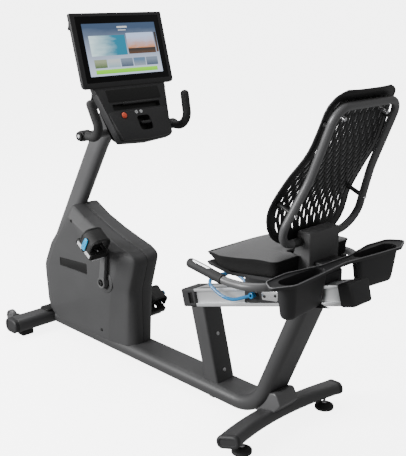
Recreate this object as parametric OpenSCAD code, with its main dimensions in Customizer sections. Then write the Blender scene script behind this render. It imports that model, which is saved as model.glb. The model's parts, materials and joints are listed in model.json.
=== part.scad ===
// Recumbent exercise bike. Millimetres, +X to the rider's right, +Y forward, +Z up.
// Lengths along the bike are measured forward from the axis of the rear feet; set() then
// moves everything so that the origin lies under the middle of the bike, on the floor.

/* [Frame] */
// Width of the flat-oval main tube
tube_w = 130; // [120:1:140]
// Thickness of the main tube
tube_t = 58; // [54:1:62]
// Height of the main tube's underside above the floor
tube_floor = 24; // [22:1:28]
// Backward lean of the rear upright from vertical, in degrees
upright_lean = 23.2; // [21:0.1:25]
// Half length of the front stabilizer, without its caps
front_half = 240; // [230:1:250]
// Half distance between the two rear feet
rear_foot_x = 214; // [205:1:220]
// Distance from the rear feet to the front stabilizer's centre
wheelbase = 1316; // [1310:1:1322]

/* [Seat rail] */
// Slope of the seat rail, in degrees, rising to the rear
rail_slope = 15.8; // [15:0.1:16.5]
// Width of the rail extrusion
rail_w = 86; // [84:1:90]
// Height of the rail extrusion
rail_h = 65; // [62:1:66]
// Length of the rail between its end caps
rail_len = 650; // [640:1:660]

/* [Drive] */
// Distance of the crank axle ahead of the rear feet
crank_y = 862; // [855:1:870]
// Height of the crank axle
crank_z = 330; // [325:1:335]
// Length of each crank arm, from axle to pedal axle
crank_len = 165; // [160:1:170]
// Lean of the left crank arm to the rear at rest, in degrees
crank_lean = 8; // [0:1:15]
// Radius of the drive pulley on the crank axle
pulley_r = 88; // [84:1:90]
// Radius of the flywheel's small pulley
pinion_r = 19; // [18:0.5:20]

/* [Housing] */
// Half width of the drive housing at its flat sides
house_w = 90; // [88:1:92]
// Wall of the moulded covers
wall = 3; // [2.5:0.5:3.5]

/* [Console] */
// Half width of the screen housing
screen_hw = 213; // [205:1:216]
// Height of the screen housing along its face
screen_h = 262; // [255:1:268]
// Tilt of the screen from vertical, in degrees
screen_tilt = 15.7; // [12:0.1:18]
// Tilt of the lower pod from vertical, in degrees
pod_tilt = 26; // [24:0.5:28]

/* [Seat] */
// Half width of the seat cushion
seat_hw = 198; // [190:1:200]
// Diameter of the backrest frame tube
back_d = 25; // [22:1:28]
// Height of the recline axis
recline_z = 703; // [700:1:706]

/* [Hidden] */
$fn = 64;

y_back = -290;                      // rearmost point, at the top of the backrest
y_front = 1423;                     // foremost point, on the transport wheels
y_mid = (y_back + y_front) / 2;
gap = 0.3;                          // clearance between bodies
bend_r = 140;                       // centre-line radius of the main tube's bend
tube_z = tube_floor + tube_t / 2;
bend_turn = 90 - upright_lean;
bend_y = 190;                       // where the bend starts
rail_y = 445;                       // front lower corner of the rail
rail_z = 330;
stab_r = 887;                       // plan radius of the curved rear stabilizer
flywheel_y = 1090;
flywheel_z = 255;
flywheel_r = 98;
belt_t = 3;
wheel_y = 1392;
wheel_z = 62;
wheel_r = 31;
wheel_x = 205;
lever_y = 96;                       // seat lever pivot
lever_z = 476;
recline_y = -98;
back_lean = 22.2;                   // lean of the backrest frame from vertical
bar_y = 800;                        // console handlebar
bar_z = 932;
charcoal = "dimgray";
steel = "gray";
black = [0.08, 0.08, 0.08];
plastic = [0.2, 0.2, 0.21];
bright = "silver";

function unit(v) = v / norm(v);
// Outline whose corners [x, y, r] are rounded with radius r.
function rounded(p, n = 6) = [for (i = [0 : len(p) - 1])
    let (b = p[i], q = [b[0], b[1]],
         a = p[(i + len(p) - 1) % len(p)], c = p[(i + 1) % len(p)],
         u = unit([a[0], a[1]] - q), v = unit([c[0], c[1]] - q),
         half = acos(u * v) / 2, m = q + unit(u + v) * b[2] / sin(half),
         start = q + u * b[2] / tan(half) - m, side = sign(u[1] * v[0] - u[0] * v[1]))
    each b[2] == 0 ? [q] : [for (k = [0 : n])
        let (t = side * (180 - 2 * half) * k / n)
        m + [start[0] * cos(t) - start[1] * sin(t), start[0] * sin(t) + start[1] * cos(t)]]];
// Corners of a rectangle given by its two opposite corners, each with radius r.
function box_corners(a, b, r) = [[a[0], a[1], r], [b[0], a[1], r], [b[0], b[1], r], [a[0], b[1], r]];

module set() { translate([0, -y_mid, 0]) children(); }
// Extrudes an outline drawn in (y, z) across the bike from x = a to x = b.
module across(a, b) {
    translate([a, 0, 0]) rotate([90, 0, 90]) linear_extrude(b - a) children();
}
module both() { children(); mirror([1, 0, 0]) children(); }
module rod(r, a, b) { translate([a, 0, 0]) rotate([0, 90, 0]) cylinder(r = r, h = b - a); }
function bar(w, t, r) = rounded(box_corners([-t / 2, -w / 2], [t / 2, w / 2], r));
function ring(r, n = 16) = [for (k = [0 : n - 1]) [r * cos(360 * k / n), r * sin(360 * k / n)]];
function shift(v) = [[1, 0, 0, v[0]], [0, 1, 0, v[1]], [0, 0, 1, v[2]], [0, 0, 0, 1]];
function roll(a) = [[cos(a), -sin(a), 0, 0], [sin(a), cos(a), 0, 0], [0, 0, 1, 0], [0, 0, 0, 1]];
function tip(a) = [[cos(a), 0, sin(a), 0], [0, 1, 0, 0], [-sin(a), 0, cos(a), 0], [0, 0, 0, 1]];
// A path starts along +Z and is a list of straight runs [length] and bends [radius, turn, side];
// side 0 bends towards the path's own +X, and 90 towards its +Y.
function bend(b, turn) =
    roll(b[2]) * shift([b[0] * (1 - cos(turn)), 0, b[0] * sin(turn)]) * tip(turn) * roll(-b[2]);
function advance(b) = len(b) == 1 ? shift([0, 0, b[0]]) : bend(b, b[1]);
bend_step = 9;                      // largest turn between two rings of a swept bend
function bend_stations(b, m, n) = [for (k = [0 : n - 1]) m * bend(b, b[1] * k / n)];
function stations(run, m = roll(0), i = 0) = i == len(run) ? [m]
    : concat(len(run[i]) == 1 ? [m] : bend_stations(run[i], m, ceil(run[i][1] / bend_step)),
        stations(run, m * advance(run[i]), i + 1));
function placed(m, outline) = [for (q = outline)
    let (v = m * [q[0], q[1], 0, 1]) [v[0], v[1], v[2]]];
function skin(n, rings, base, turned) = [for (j = [0 : rings - 2], k = [0 : n - 1])
    let (a = base + j * n + k, b = base + j * n + (k + 1) % n)
    turned ? [a, b, b + n, a + n] : [a + n, b + n, b, a]];
// A solid rod or, with an inner outline, a hollow tube swept along a path.
module tube(run, outer, inner = []) {
    path = stations(run);
    n = len(outer);
    last = (len(path) - 1) * n;
    half = len(path) * n;
    outside = [for (m = path) each placed(m, outer)];
    if (len(inner) == 0) {
        start = [for (k = [0 : n - 1]) k];
        end = [for (k = [n - 1 : -1 : 0]) last + k];
        polyhedron(outside, concat(skin(n, len(path), 0, false), [start, end]));
    } else {
        inside = [for (m = path) each placed(m, inner)];
        start = [for (k = [0 : n - 1]) [k, (k + 1) % n, half + (k + 1) % n, half + k]];
        end = [for (k = [0 : n - 1])
            let (a = last + k, b = last + (k + 1) % n) [b, a, half + a, half + b]];
        polyhedron(concat(outside, inside),
            concat(skin(n, len(path), 0, false), skin(n, len(path), half, true), start, end));
    }
}
module at_end(run) {
    path = stations(run);
    multmatrix(path[len(path) - 1]) children();
}
module on_rail() { translate([0, rail_y, rail_z]) rotate([-rail_slope, 0, 0]) children(); }
module on_screen() { translate([0, 787, 1105]) rotate([-screen_tilt, 0, 0]) children(); }
module on_pod() { translate([0, 694, 907]) rotate([-pod_tilt, 0, 0]) children(); }
module on_crank() { translate([0, crank_y, crank_z]) rotate([crank_lean, 0, 0]) children(); }
module at_pedal(side) {
    on_crank() translate([0, 0, -side * crank_len]) rotate([-crank_lean, 0, 0]) children();
}

// ---- frame ----
module main_path(outer, inner = []) {
    translate([0, wheelbase - 42, tube_z]) rotate([90, 0, 0]) rotate([0, 0, 90])
        tube([[wheelbase - 42 - bend_y], [bend_r, bend_turn, 0], [360]], outer, inner);
}
module main_space(grow) { main_path(bar(tube_w + 2 * grow, tube_t + 2 * grow, 27 + grow)); }
module below_rail() { on_rail() translate([-200, -900, -800]) cube([400, 1900, 800]); }
module main_tube() {
    set() color(charcoal) intersection() {
        main_path(bar(tube_w, tube_t, 27), bar(tube_w - 6, tube_t - 6, 24));
        below_rail();
    }
}
module front_section(grow = 0) {
    polygon(rounded(box_corners([wheelbase - 42 - grow, 24 - grow],
        [wheelbase + 42 + grow, 86 + grow], 26 + grow)));
}
module front_stabilizer() {
    set() color(charcoal) across(-front_half, front_half) difference() {
        front_section();
        front_section(-3);
    }
}
module on_rear_arc() { translate([0, 44, 52]) rotate([-12, 0, 0]) translate([0, -stab_r, 0]) children(); }
module rear_arc(w, t, r, half) {
    on_rear_arc() rotate([0, 0, 90 - half]) rotate_extrude(angle = 2 * half, $fn = 96)
        translate([stab_r, 0]) polygon(bar(t, w, r));
}
module rear_stabilizer() {
    set() color(charcoal) difference() {
        rear_arc(80, 42, 19, 17.6);
        rear_arc(74, 36, 16, 18);
        for (s = [-1, 1]) translate([s * rear_foot_x, 0, 10]) cylinder(r = 5.2, h = 40);
    }
}
module stabilizer_caps() {
    set() color(plastic) {
        both() difference() {
            across(front_half, front_half + 22) front_section(1.5);
            across(front_half + 14, front_half + 23) front_section(-9);
        }
        both() on_rear_arc() rotate([0, 0, 17.62]) translate([0, stab_r, 0]) rotate([90, 0, -90])
            linear_extrude(16) polygon(rounded(box_corners([-41, -22], [41, 22], 20), 4));
    }
}
module rubber_feet() {
    set() color(black) {
        both() translate([160, wheelbase - 22, 0]) cube([56, 44, 24]);
        both() translate([rear_foot_x, 0, 0]) difference() {
            union() {
                cylinder(r = 34, h = 12);
                translate([0, 0, 12]) cylinder(r1 = 30, r2 = 18, h = 8);
            }
            translate([0, 0, 6]) cylinder(r = 5, h = 20);
        }
        translate([-20, 322, 0]) cube([40, 28, tube_floor]);
    }
}
module foot_studs() {
    set() color(bright) both() translate([rear_foot_x, 0, 6]) {
        cylinder(r = 5, h = 38);
        translate([0, 0, 14]) cylinder(r = 9, h = 6, $fn = 6);
    }
}
module rear_gusset() {
    set() color("darkgray") difference() {
        across(-48, 48) polygon([[120, 60], [64, 128], [6, 146], [-16, 104], [20, 60], [60, 40]]);
        main_space(0);
        rear_arc(80, 42, 19, 20);
    }
}
module wheel_brackets() {
    set() color(steel) both() for (x = [wheel_x - 17, wheel_x + 13]) difference() {
        across(x, x + 4) polygon(rounded([[wheelbase + 42, 36, 0], [wheel_y, wheel_z - 12, 8],
            [wheel_y + 12, wheel_z, 8], [wheel_y, wheel_z + 12, 8], [wheelbase + 42, 80, 0]]));
        translate([0, wheel_y, wheel_z]) rod(4.05, x - 1, x + 5);
    }
}
module front_post() {
    set() color(steel) difference() {
        across(-30, 30) polygon([[1200, tube_z + tube_t / 2], [1266, tube_z + tube_t / 2],
            [1280, 370], [1258, 400], [1224, 400]]);
        across(-26, 26) polygon([[1204, 60], [1262, 60], [1276, 369], [1254, 402], [1228, 402]]);
    }
}
module mast_path(outer, inner = []) {
    translate([0, 1291, 360]) rotate([31, 0, 0]) rotate([0, 0, -90])
        tube([[566], [420, 9, 0], [40]], outer, inner);
}
module mast_space(grow) { mast_path(bar(56 + 2 * grow, 88 + 2 * grow, 27.9 + grow)); }
module mast() {
    set() color("darkgray") intersection() {
        mast_path(bar(56, 88, 27.9), bar(50, 82, 24.9));
        translate([-100, 700, 400]) cube([200, 700, 800]);
    }
}
module seat_post() {
    set() color(charcoal) intersection() {
        difference() {
            across(-45, 45) polygon(rounded([[278, 70, 0], [346, 70, 0], [436, 400, 0], [365, 400, 0]]));
            across(-41, 41) polygon([[282, 60], [342, 60], [432, 402], [369, 402]]);
            for (z = [120, 250]) translate([0, 340, z]) rotate([90 - rail_slope, 0, 0])
                cylinder(r = 4.2, h = 100);
        }
        below_rail();
        translate([-100, 0, tube_z + tube_t / 2]) cube([200, 700, 500]);
    }
}
module post_screws() {
    set() color(bright) intersection() {
        for (z = [120, 250]) translate([0, 340, z]) rotate([90 - rail_slope, 0, 0]) cylinder(r = 4, h = 100);
        across(-10, 10) polygon([[268, 70], [284, 70], [380, 430], [362, 430]]);
    }
}
module rail_section() {
    polygon(rounded([[-rail_w / 2, 0, 2], [rail_w / 2, 0, 2], [rail_w / 2, 13, 1], [rail_w / 2 - 9, 13, 1],
        [rail_w / 2 - 9, rail_h - 10, 1], [rail_w / 2, rail_h - 10, 1], [rail_w / 2, rail_h, 2],
        [-rail_w / 2, rail_h, 2], [-rail_w / 2, rail_h - 10, 1], [9 - rail_w / 2, rail_h - 10, 1],
        [9 - rail_w / 2, 13, 1], [-rail_w / 2, 13, 1]], 3));
}
module rail() {
    set() color(bright) on_rail() translate([0, -60, 0]) rotate([90, 0, 0]) linear_extrude(rail_len)
        difference() {
            rail_section();
            translate([-30, 5]) square([60, 24]);
            translate([-30, 33]) square([60, 27]);
        }
}
module rail_front_cap() {
    set() color(plastic) on_rail() difference() {
        translate([0, 10, 0]) rotate([90, 0, 0]) linear_extrude(70)
            polygon(rounded(box_corners([-45, 0], [45, rail_h + 2], 7)));
        for (s = [-1, 1]) translate([s * 46 - 8, -52, 13]) cube([16, 26, rail_h - 26]);
    }
}
module rail_rear_cap() {
    set() color(plastic) on_rail() translate([0, -60 - rail_len, 0]) rotate([90, 0, 0])
        linear_extrude(52) polygon(rounded(box_corners([-47, -4], [47, rail_h + 3], 9)));
}

// ---- drive housing ----
module side_slab(w, outline) { across(-w, w) polygon(rounded(outline, 5)); }
module house_shape(t) {
    hull() {
        side_slab(house_w - t, [[868 + t, 75 + t, 4], [1206, 75 + t, 30], [1258 - t, 116, 30],
            [1262 - t, 320, 60], [1210, 407, 20], [1090 - t, 556 - t, 6], [776 + t, 468 - t, 40]]);
        side_slab(62 - t, [[768 + t, 75 + t, 4], [1312 - t, 82 + t, 10], [1331 - t, 286, 50],
            [1276 - t, 392, 40], [1112 - t, 592 - t, 8], [716 + t, 466 - t, 40]]);
        side_slab(26 - t, [[738 + t, 75 + t, 4], [1328 - t, 85 + t, 10], [1350 - t, 290, 50],
            [1290 - t, 398, 40], [1112 - t, 594 - t, 8], [700 + t, 466 - t, 45]]);
    }
}
module housing_half(side) {
    difference() {
        house_shape(0);
        house_shape(wall);
        translate([side > 0 ? -200 : 0, 0, 0]) cube([200, 2000, 1000]);
        main_space(0.7);
        across(-200, 200) front_section(0.8);
        mast_space(0.5);
        translate([-40, 1180, 380]) cube([80, 200, 30]);
        translate([0, crank_y, crank_z]) rod(24, -200, 200);
        translate([side * house_w, 1078, 540]) rod(4.1, -20, 20);
        translate([side * house_w, 905, 112]) rod(4.1, -20, 20);
    }
}
module housing_left() { set() color(charcoal) housing_half(-1); }
module housing_right() { set() color(charcoal) housing_half(1); }
module housing_screws() {
    set() color(bright) both() for (p = [[1078, 540], [905, 112]]) translate([0, p[0], p[1]])
        rod(4, house_w - 12, house_w + 1);
}
module housing_badges() {
    set() color(black) both() across(house_w, house_w + 1.5)
        polygon(rounded([[1170, 326, 5], [1170, 359, 5], [985, 373, 5], [985, 330, 5]]));
}

// ---- drive ----
module bottom_bracket() {
    set() color(steel) difference() {
        union() {
            translate([0, crank_y, crank_z]) rod(26, -34, 34);
            across(-14, 14) polygon([[845, tube_z + tube_t / 2], [905, tube_z + tube_t / 2],
                [880, 320], [844, 320]]);
        }
        translate([0, crank_y, crank_z]) rod(17.5, -40, 40);
    }
}
module crank_bearings() {
    set() color(bright) translate([0, crank_y, crank_z]) both() difference() {
        rod(17.5, 20, 34);
        rod(10.05, 19, 35);
    }
}
module crank_axle() {
    set() color(steel) translate([0, crank_y, crank_z]) rod(10, -98, 98);
}
module drive_pulley() {
    set() color(black) translate([0, crank_y, crank_z]) difference() {
        union() {
            rod(pulley_r, 44, 58);
            rod(22, 38, 64);
        }
        rod(10, 30, 70);
        for (a = [0 : 60 : 300]) rotate([a, 0, 0]) translate([0, 54, 0]) rod(17, 40, 66);
    }
}
module crank_arm(side) {
    on_crank() difference() {
        union() {
            across(side > 0 ? 98 : -112, side > 0 ? 112 : -98)
                polygon(rounded([[-17, 0, 12], [-13, -side * (crank_len + 14), 9],
                    [13, -side * (crank_len + 14), 9], [17, side * 22, 15], [-17, side * 22, 15]]));
            rod(23, side > 0 ? 93 : -114, side > 0 ? 114 : -93);
        }
        rod(10, -98, 98);
        rod(6, -200, 200);
        translate([0, 0, -side * crank_len]) rod(7, -200, 200);
    }
}
module crank_arm_left() { set() color(black) crank_arm(-1); }
module crank_arm_right() { set() color(black) crank_arm(1); }
module crank_bolts() {
    set() color(bright) on_crank() both() {
        rod(6, 98, 114);
        rod(11, 114, 118);
    }
}
module pedal_axles() {
    set() color(bright) for (s = [-1, 1]) at_pedal(s) {
        rod(7, s > 0 ? 98 : -116, s > 0 ? 116 : -98);
        rod(6, s > 0 ? 116 : -196, s > 0 ? 196 : -116);
    }
}
// Pedal: a slatted platform that faces up and to the rear, with a weight below it.
module pedal_turn() { rotate([32, 0, 0]) children(); }
module pedal_body(side) {
    at_pedal(side) difference() {
        pedal_turn() {
            for (y = [-52, 32]) translate([side > 0 ? 119 : -205, y, -11]) cube([86, 20, 22]);
            for (x = [119, 187]) translate([side > 0 ? x : -x - 18, -52, -13]) cube([18, 104, 26]);
            translate([side > 0 ? 119 : -205, -13, -13]) cube([86, 26, 26]);
            translate([side > 0 ? 140 : -184, -16, -44]) cube([44, 30, 32]);
        }
        rod(6.05, side > 0 ? 100 : -197, side > 0 ? 197 : -100);
    }
}
module pedal_strap(side) {
    at_pedal(side) pedal_turn() translate([side * 162, 0, 13]) rotate([90, 0, 0])
        translate([0, 0, -36]) linear_extrude(72) difference() {
            polygon(rounded([[-44, 0, 0], [44, 0, 0], [44, 58, 28], [-44, 58, 28]]));
            polygon(rounded([[-40, 0, 0], [40, 0, 0], [40, 54, 24], [-40, 54, 24]]));
        }
}
module pedal_buckle(side) {
    at_pedal(side) pedal_turn() translate([side * 209.5, 0, 30]) cube([7, 24, 54], center = true);
}
module pedal_left() { set() color(black) pedal_body(-1); }
module pedal_right() { set() color(black) pedal_body(1); }
module pedal_left_strap() { set() color(black) pedal_strap(-1); }
module pedal_right_strap() { set() color(black) pedal_strap(1); }
module pedal_left_buckle() { set() color("deepskyblue") pedal_buckle(-1); }
module pedal_right_buckle() { set() color("deepskyblue") pedal_buckle(1); }
module at_flywheel() { translate([0, flywheel_y, flywheel_z]) children(); }
module flywheel() {
    set() color(steel) at_flywheel() difference() {
        union() {
            rod(flywheel_r, -22, 10);
            rod(pinion_r, 10, 62);
        }
        rod(8.05, -30, 66);
    }
}
module flywheel_fork() {
    base = tube_z + tube_t / 2 - flywheel_z;
    set() color(steel) at_flywheel() {
        rod(8, -30, 66);
        for (x = [-36, 66]) across(x, x + 6) polygon([[-30, base + 6], [30, base + 6], [16, 14], [-16, 14]]);
        translate([-40, -30, base]) cube([116, 60, 6]);
    }
}
module belt_loop(t) {
    d = norm([flywheel_y - crank_y, flywheel_z - crank_z]);
    lift = atan2(flywheel_z - crank_z, flywheel_y - crank_y);
    lap = asin((pulley_r - pinion_r) / d);
    big = pulley_r + gap + t;
    small = pinion_r + gap + t;
    translate([crank_y, crank_z]) rotate(lift) polygon(concat(
        [for (k = [0 : 40]) let (a = 90 - lap + (180 + 2 * lap) * k / 40)
            [big * cos(a), big * sin(a)]],
        [for (k = [0 : 16]) let (a = lap - 90 + (180 - 2 * lap) * k / 16)
            [d + small * cos(a), small * sin(a)]]));
}
module drive_belt() {
    set() color(black) across(45, 57) difference() {
        belt_loop(belt_t);
        belt_loop(0);
    }
}
module transport_wheel(side) {
    translate([side * wheel_x, wheel_y, wheel_z]) {
        rod(wheel_r, -11, 11);
        rod(4, -17, 17);
    }
}
module transport_wheel_left() { set() color("lightgray") transport_wheel(-1); }
module transport_wheel_right() { set() color("lightgray") transport_wheel(1); }

// ---- console ----
module console_bracket() {
    set() color(charcoal) difference() {
        across(-28, 28) polygon([[785, 940], [833, 1040], [831, 1118], [847, 1180], [870, 1182],
            [884, 1060], [968, 962], [930, 900], [850, 900]]);
        mast_space(0);
        translate([0, bar_y, bar_z]) rod(15, -40, 40);
    }
}
module screen_back() {
    set() color(plastic) on_screen() difference() {
        hull() {
            translate([-screen_hw, 6, 0]) cube([2 * screen_hw, 8, screen_h]);
            translate([-screen_hw + 26, 6, 22]) cube([2 * screen_hw - 52, 30, screen_h - 44]);
        }
        hull() {
            translate([-screen_hw + 3, 3, 3]) cube([2 * screen_hw - 6, 10, screen_h - 6]);
            translate([-screen_hw + 29, 3, 25]) cube([2 * screen_hw - 58, 30, screen_h - 50]);
        }
    }
}
module screen_bezel() {
    set() color(plastic) on_screen() difference() {
        translate([-screen_hw, 0, 0]) cube([2 * screen_hw, 6, screen_h]);
        translate([-194, -1, 10]) cube([388, 4, screen_h - 22]);
        translate([-170, -1, 33]) cube([340, 10, 190]);
    }
}
module screen_display() {
    set() color("steelblue") on_screen() {
        difference() {
            translate([-193.7, 0.6, 10.3]) cube([387.4, 2.2, screen_h - 22.6]);
            translate([-169, 0.2, 34]) cube([338, 1.2, 188]);
        }
        translate([-169.5, 3, 33.5]) cube([339, 5, 189]);
    }
}
module pod_outline(g) {
    polygon(rounded([[-122 + g, 4 + g, 12], [0, -4 + g, 0], [122 - g, 4 + g, 12],
        [166 - g, 205 - g, 6], [-166 + g, 205 - g, 6]], 5));
}
module pod_slab(g, a, b) { translate([0, b, 0]) rotate([90, 0, 0]) linear_extrude(b - a) pod_outline(g); }
module console_pod() {
    set() color(plastic) on_pod() difference() {
        hull() {
            pod_slab(0, 0, 30);
            pod_slab(28, 30, 66);
        }
        hull() {
            pod_slab(wall, wall, 30);
            pod_slab(28 + wall, 30, 66 - wall);
        }
        translate([-112, -1, 122]) cube([224, 20, 22]);
        translate([-22, -1, 34]) cube([62, 40, 60]);
        translate([-74, 0, 100]) rotate([-90, 0, 0]) cylinder(r = 11.5, h = 12, center = true);
        for (x = [-14, 8]) translate([x, 0, 108]) rotate([-90, 0, 0]) cylinder(r = 5, h = 12, center = true);
    }
}
module pod_panel() {
    set() color(black) on_pod() {
        difference() {
            translate([-111.5, 3.5, 122.5]) cube([223, 14, 21]);
            translate([-108, 0, 126]) cube([216, 14, 14]);
        }
        difference() {
            translate([-21.5, 3.5, 34.5]) cube([61, 34, 59]);
            translate([-18, 0, 38]) cube([54, 34, 52]);
        }
    }
}
module audio_jacks() {
    set() color("white") on_pod() for (x = [-14, 8])
        translate([x, -1, 108]) rotate([-90, 0, 0]) difference() {
            union() {
                cylinder(r = 4.9, h = 10);
                cylinder(r = 6.5, h = 1);
            }
            translate([0, 0, -1]) cylinder(r = 2, h = 8);
        }
}
module stop_button() {
    set() color("orangered") on_pod() translate([-74, 0, 100]) rotate([-90, 0, 0]) {
        translate([0, 0, -4]) cylinder(r = 11, h = 14);
        translate([0, 0, 6]) cylinder(r = 13, h = 3);
    }
}
module handlebar() {
    set() color(steel) translate([0, bar_y, bar_z]) rod(15, -228, 228);
}
// Grip: a sleeve on the bar's end that turns to the rear and then up.
module grip_path(r) {
    translate([206, bar_y - 10, bar_z]) rotate([90, 0, 0]) rotate([0, 0, 90])
        tube([[35], [44, 108, -8], [76]], ring(r));
}
module handlebar_grips() {
    set() color(black) both() difference() {
        union() {
            grip_path(16.5);
            across(190, 226) polygon(rounded(box_corners([bar_y - 20, bar_z - 20],
                [bar_y + 20, bar_z + 20], 14), 4));
        }
        translate([0, bar_y, bar_z]) rod(15, 180, 240);
    }
}
module handlebar_plugs() {
    set() color(bright) both() translate([0, bar_y, bar_z]) rod(17, 228, 234);
}

// ---- seat ----
module carriage() {
    set() color(plastic) {
        difference() {
            across(-56, 56) polygon([[146, 431], [146, 578], [90, 571.5], [-93, 595.5], [-93, 606],
                [-160, 606], [-166, 600], [-166, 519.6]]);
            on_rail() translate([-rail_w / 2 - gap, -900, -40])
                cube([rail_w + 2 * gap, 900, rail_h + 40 + gap]);
            across(-48, 48) polygon([[150, 502], [150, 566], [90, 562], [-88, 586], [-88, 570]]);
            across(-44, 44) polygon([[-100, 574], [-100, 598], [-156, 598], [-156, 590]]);
        }
        both() translate([0, lever_y, lever_z]) rod(5, 56, 79);
        both() across(56, 59) polygon(rounded([[64, 466, 5], [68, 492, 5], [-2, 512, 5], [-2, 477, 5]], 3));
    }
}
module seat_pan() {
    set() color(plastic) across(-176, 176)
        polygon([[190, 584], [200, 592], [196, 596], [90, 583], [-92, 606], [-92, 596], [90, 572]]);
}
module seat_cushion() {
    set() color(charcoal) difference() {
        intersection() {
            across(-seat_hw, seat_hw) polygon(rounded([[-98, 608, 6], [90, 585, 60], [215, 600, 10],
                [256, 588, 8], [246, 618, 24], [150, 646, 100], [0, 662, 200], [-98, 666, 12]]));
            translate([0, 0, 500]) linear_extrude(300) polygon(rounded([[-seat_hw + 12, -98, 22],
                [-seat_hw, 130, 80], [-128, 258, 70], [128, 258, 70], [seat_hw, 130, 80],
                [seat_hw - 12, -98, 22]]));
        }
        translate([-73, -200, 500]) cube([146, 156, 300]);
    }
}
module back_bracket() {
    set() color(steel) difference() {
        across(-72, 72) polygon([[-136, 606], [-94, 606], [-94, 609], [-48, 609], [-82, 692],
            [-82, 722], [-88, 735], [-128, 735], [-136, 650]]);
        across(-67, 67) polygon([[-131, 611], [-96, 611], [-96, 614], [-55, 614], [-74, 660],
            [-74, 722], [-90, 729], [-123, 729], [-131, 650]]);
        translate([0, recline_y, recline_z]) rod(9.05, -100, 100);
    }
}
handle_run = [[104], [95, 90, 90], [30], [200, 11, 180]];
module at_handle() { translate([56, -112, 592]) rotate([-3, 0, 0]) rotate([0, 90, 0]) children(); }
module side_handles() {
    set() color(steel) both() at_handle() tube(concat(handle_run, [[145]]), ring(13, 24));
}
module side_grips() {
    set() color(black) both() at_handle() at_end(handle_run) difference() {
        cylinder(r = 16, h = 152);
        translate([0, 0, -1]) linear_extrude(146.5) polygon(ring(13.2, 24));
        translate([-19.5, -7.5, 56]) cube([5, 15, 78]);
    }
}
module pulse_sensors() {
    set() color(bright) both() at_handle() at_end(handle_run)
        translate([-16.3, -7, 56.5]) cube([1.8, 14, 77]);
}
module tray_outline(g) {
    polygon(rounded([[-334 + g, -208, 12], [-300, -158 - g, 40], [-200, -150 - g, 60], [-70, -176 - g, 40],
        [70, -176 - g, 40], [200, -150 - g, 60], [300, -158 - g, 40], [334 - g, -208, 12],
        [262, -242 + g, 40], [150, -232 + g, 60], [0, -214 + g, 0], [-150, -232 + g, 60],
        [-262, -242 + g, 40]], 5));
}
module pocket(g, bottom) {
    hull() {
        translate([0, 0, 630]) linear_extrude(12) polygon(rounded([[-300 + g, -206, 25],
            [-262, -170 - g, 30], [-80 - g, -170 - g, 30], [-70 - g, -212 + g, 20],
            [-250, -232 + g, 30]], 4));
        translate([0, 0, bottom]) linear_extrude(4) polygon(rounded([[-276 + g, -202, 20],
            [-250, -176 - g, 20], [-100 - g, -176 - g, 20], [-96 - g, -206 + g, 15],
            [-240, -222 + g, 20]], 4));
    }
}
module storage_tray() {
    set() color(plastic) difference() {
        union() {
            translate([0, 0, 636]) linear_extrude(10) tray_outline(0);
            translate([-50, -184, 636]) cube([100, 48, 6]);
            both() pocket(0, 528);
        }
        both() pocket(wall, 531);
        translate([0, 0, 641]) linear_extrude(10) tray_outline(4);
    }
}
module seat_lever() {
    set() color("deepskyblue") difference() {
        union() {
            both() translate([0, lever_y, lever_z]) rod(10, 64, 80);
            translate([72, lever_y, lever_z]) rotate([-115, 0, 0])
                tube([[70], [120, 50, -90], [20], [40, 90, 180], [64], [40, 90, 180], [20],
                    [120, 50, -90], [70]], ring(6, 12));
        }
        translate([0, lever_y, lever_z]) rod(5.05, -90, 90);
    }
}
module on_back() { translate([0, recline_y, recline_z]) rotate([back_lean, 0, 0]) children(); }
module back_stubs() {
    both() for (p = [[168, 120, 56], [148, 400, 21]]) translate([p[0], 0, p[1]]) rotate([-90, 0, 0])
        cylinder(r = 7, h = p[2]);
}
module backrest_frame() {
    set() color("darkgray") on_back() {
        rod(9, -118, 118);
        back_stubs();
        both() rod(14, 74.5, 112);
        translate([100, 0, 0]) rotate([0, 90, 0]) tube([[8], [72, 102, 180], [120], [250, 12, 0], [155],
            [50, 90, 180], [196], [50, 90, 180], [155], [250, 12, 0], [120], [72, 102, 180], [8]],
            ring(back_d / 2));
    }
}
module backrest_shell() {
    set() color(black) on_back() difference() {
        intersection() {
            across(-192, 192) polygon(rounded([[30, -16, 0], [66, 96, 60], [48, 205, 80],
                [24, 300, 80], [27, 440, 40], [16, 498, 0], [8, 496, 0], [18, 440, 40],
                [15, 300, 80], [39, 203, 80], [57, 98, 60], [22, -13, 0]]));
            translate([0, 120, 0]) rotate([90, 0, 0]) linear_extrude(200) polygon(rounded([
                [-150, -20, 50], [150, -20, 50], [192, 60, 60], [186, 200, 200], [160, 340, 150],
                [148, 500, 36], [-148, 500, 36], [-160, 340, 150], [-186, 200, 200],
                [-192, 60, 60]]));
        }
        back_stubs();
    }
}

main_tube();
front_stabilizer();
rear_stabilizer();
stabilizer_caps();
rubber_feet();
foot_studs();
rear_gusset();
wheel_brackets();
front_post();
mast();
seat_post();
post_screws();
rail();
rail_front_cap();
rail_rear_cap();
housing_left();
housing_right();
housing_screws();
housing_badges();
bottom_bracket();
crank_bearings();
flywheel_fork();
drive_belt();
console_bracket();
screen_back();
screen_bezel();
screen_display();
console_pod();
pod_panel();
audio_jacks();
handlebar();
handlebar_grips();
handlebar_plugs();
crank_axle();
drive_pulley();
crank_arm_left();
crank_arm_right();
crank_bolts();
pedal_axles();
pedal_left();
pedal_left_strap();
pedal_left_buckle();
pedal_right();
pedal_right_strap();
pedal_right_buckle();
flywheel();
transport_wheel_left();
transport_wheel_right();
carriage();
seat_pan();
seat_cushion();
back_bracket();
side_handles();
side_grips();
pulse_sensors();
storage_tray();
seat_lever();
backrest_frame();
backrest_shell();
stop_button();
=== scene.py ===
"""Looks of the recumbent exercise bike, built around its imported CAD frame.

Shapes are drawn in millimetres in the design's own layout: x to the rider's right, y forward
from the rear feet, z up. put() turns such a point into the frame's metres.
"""

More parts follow.
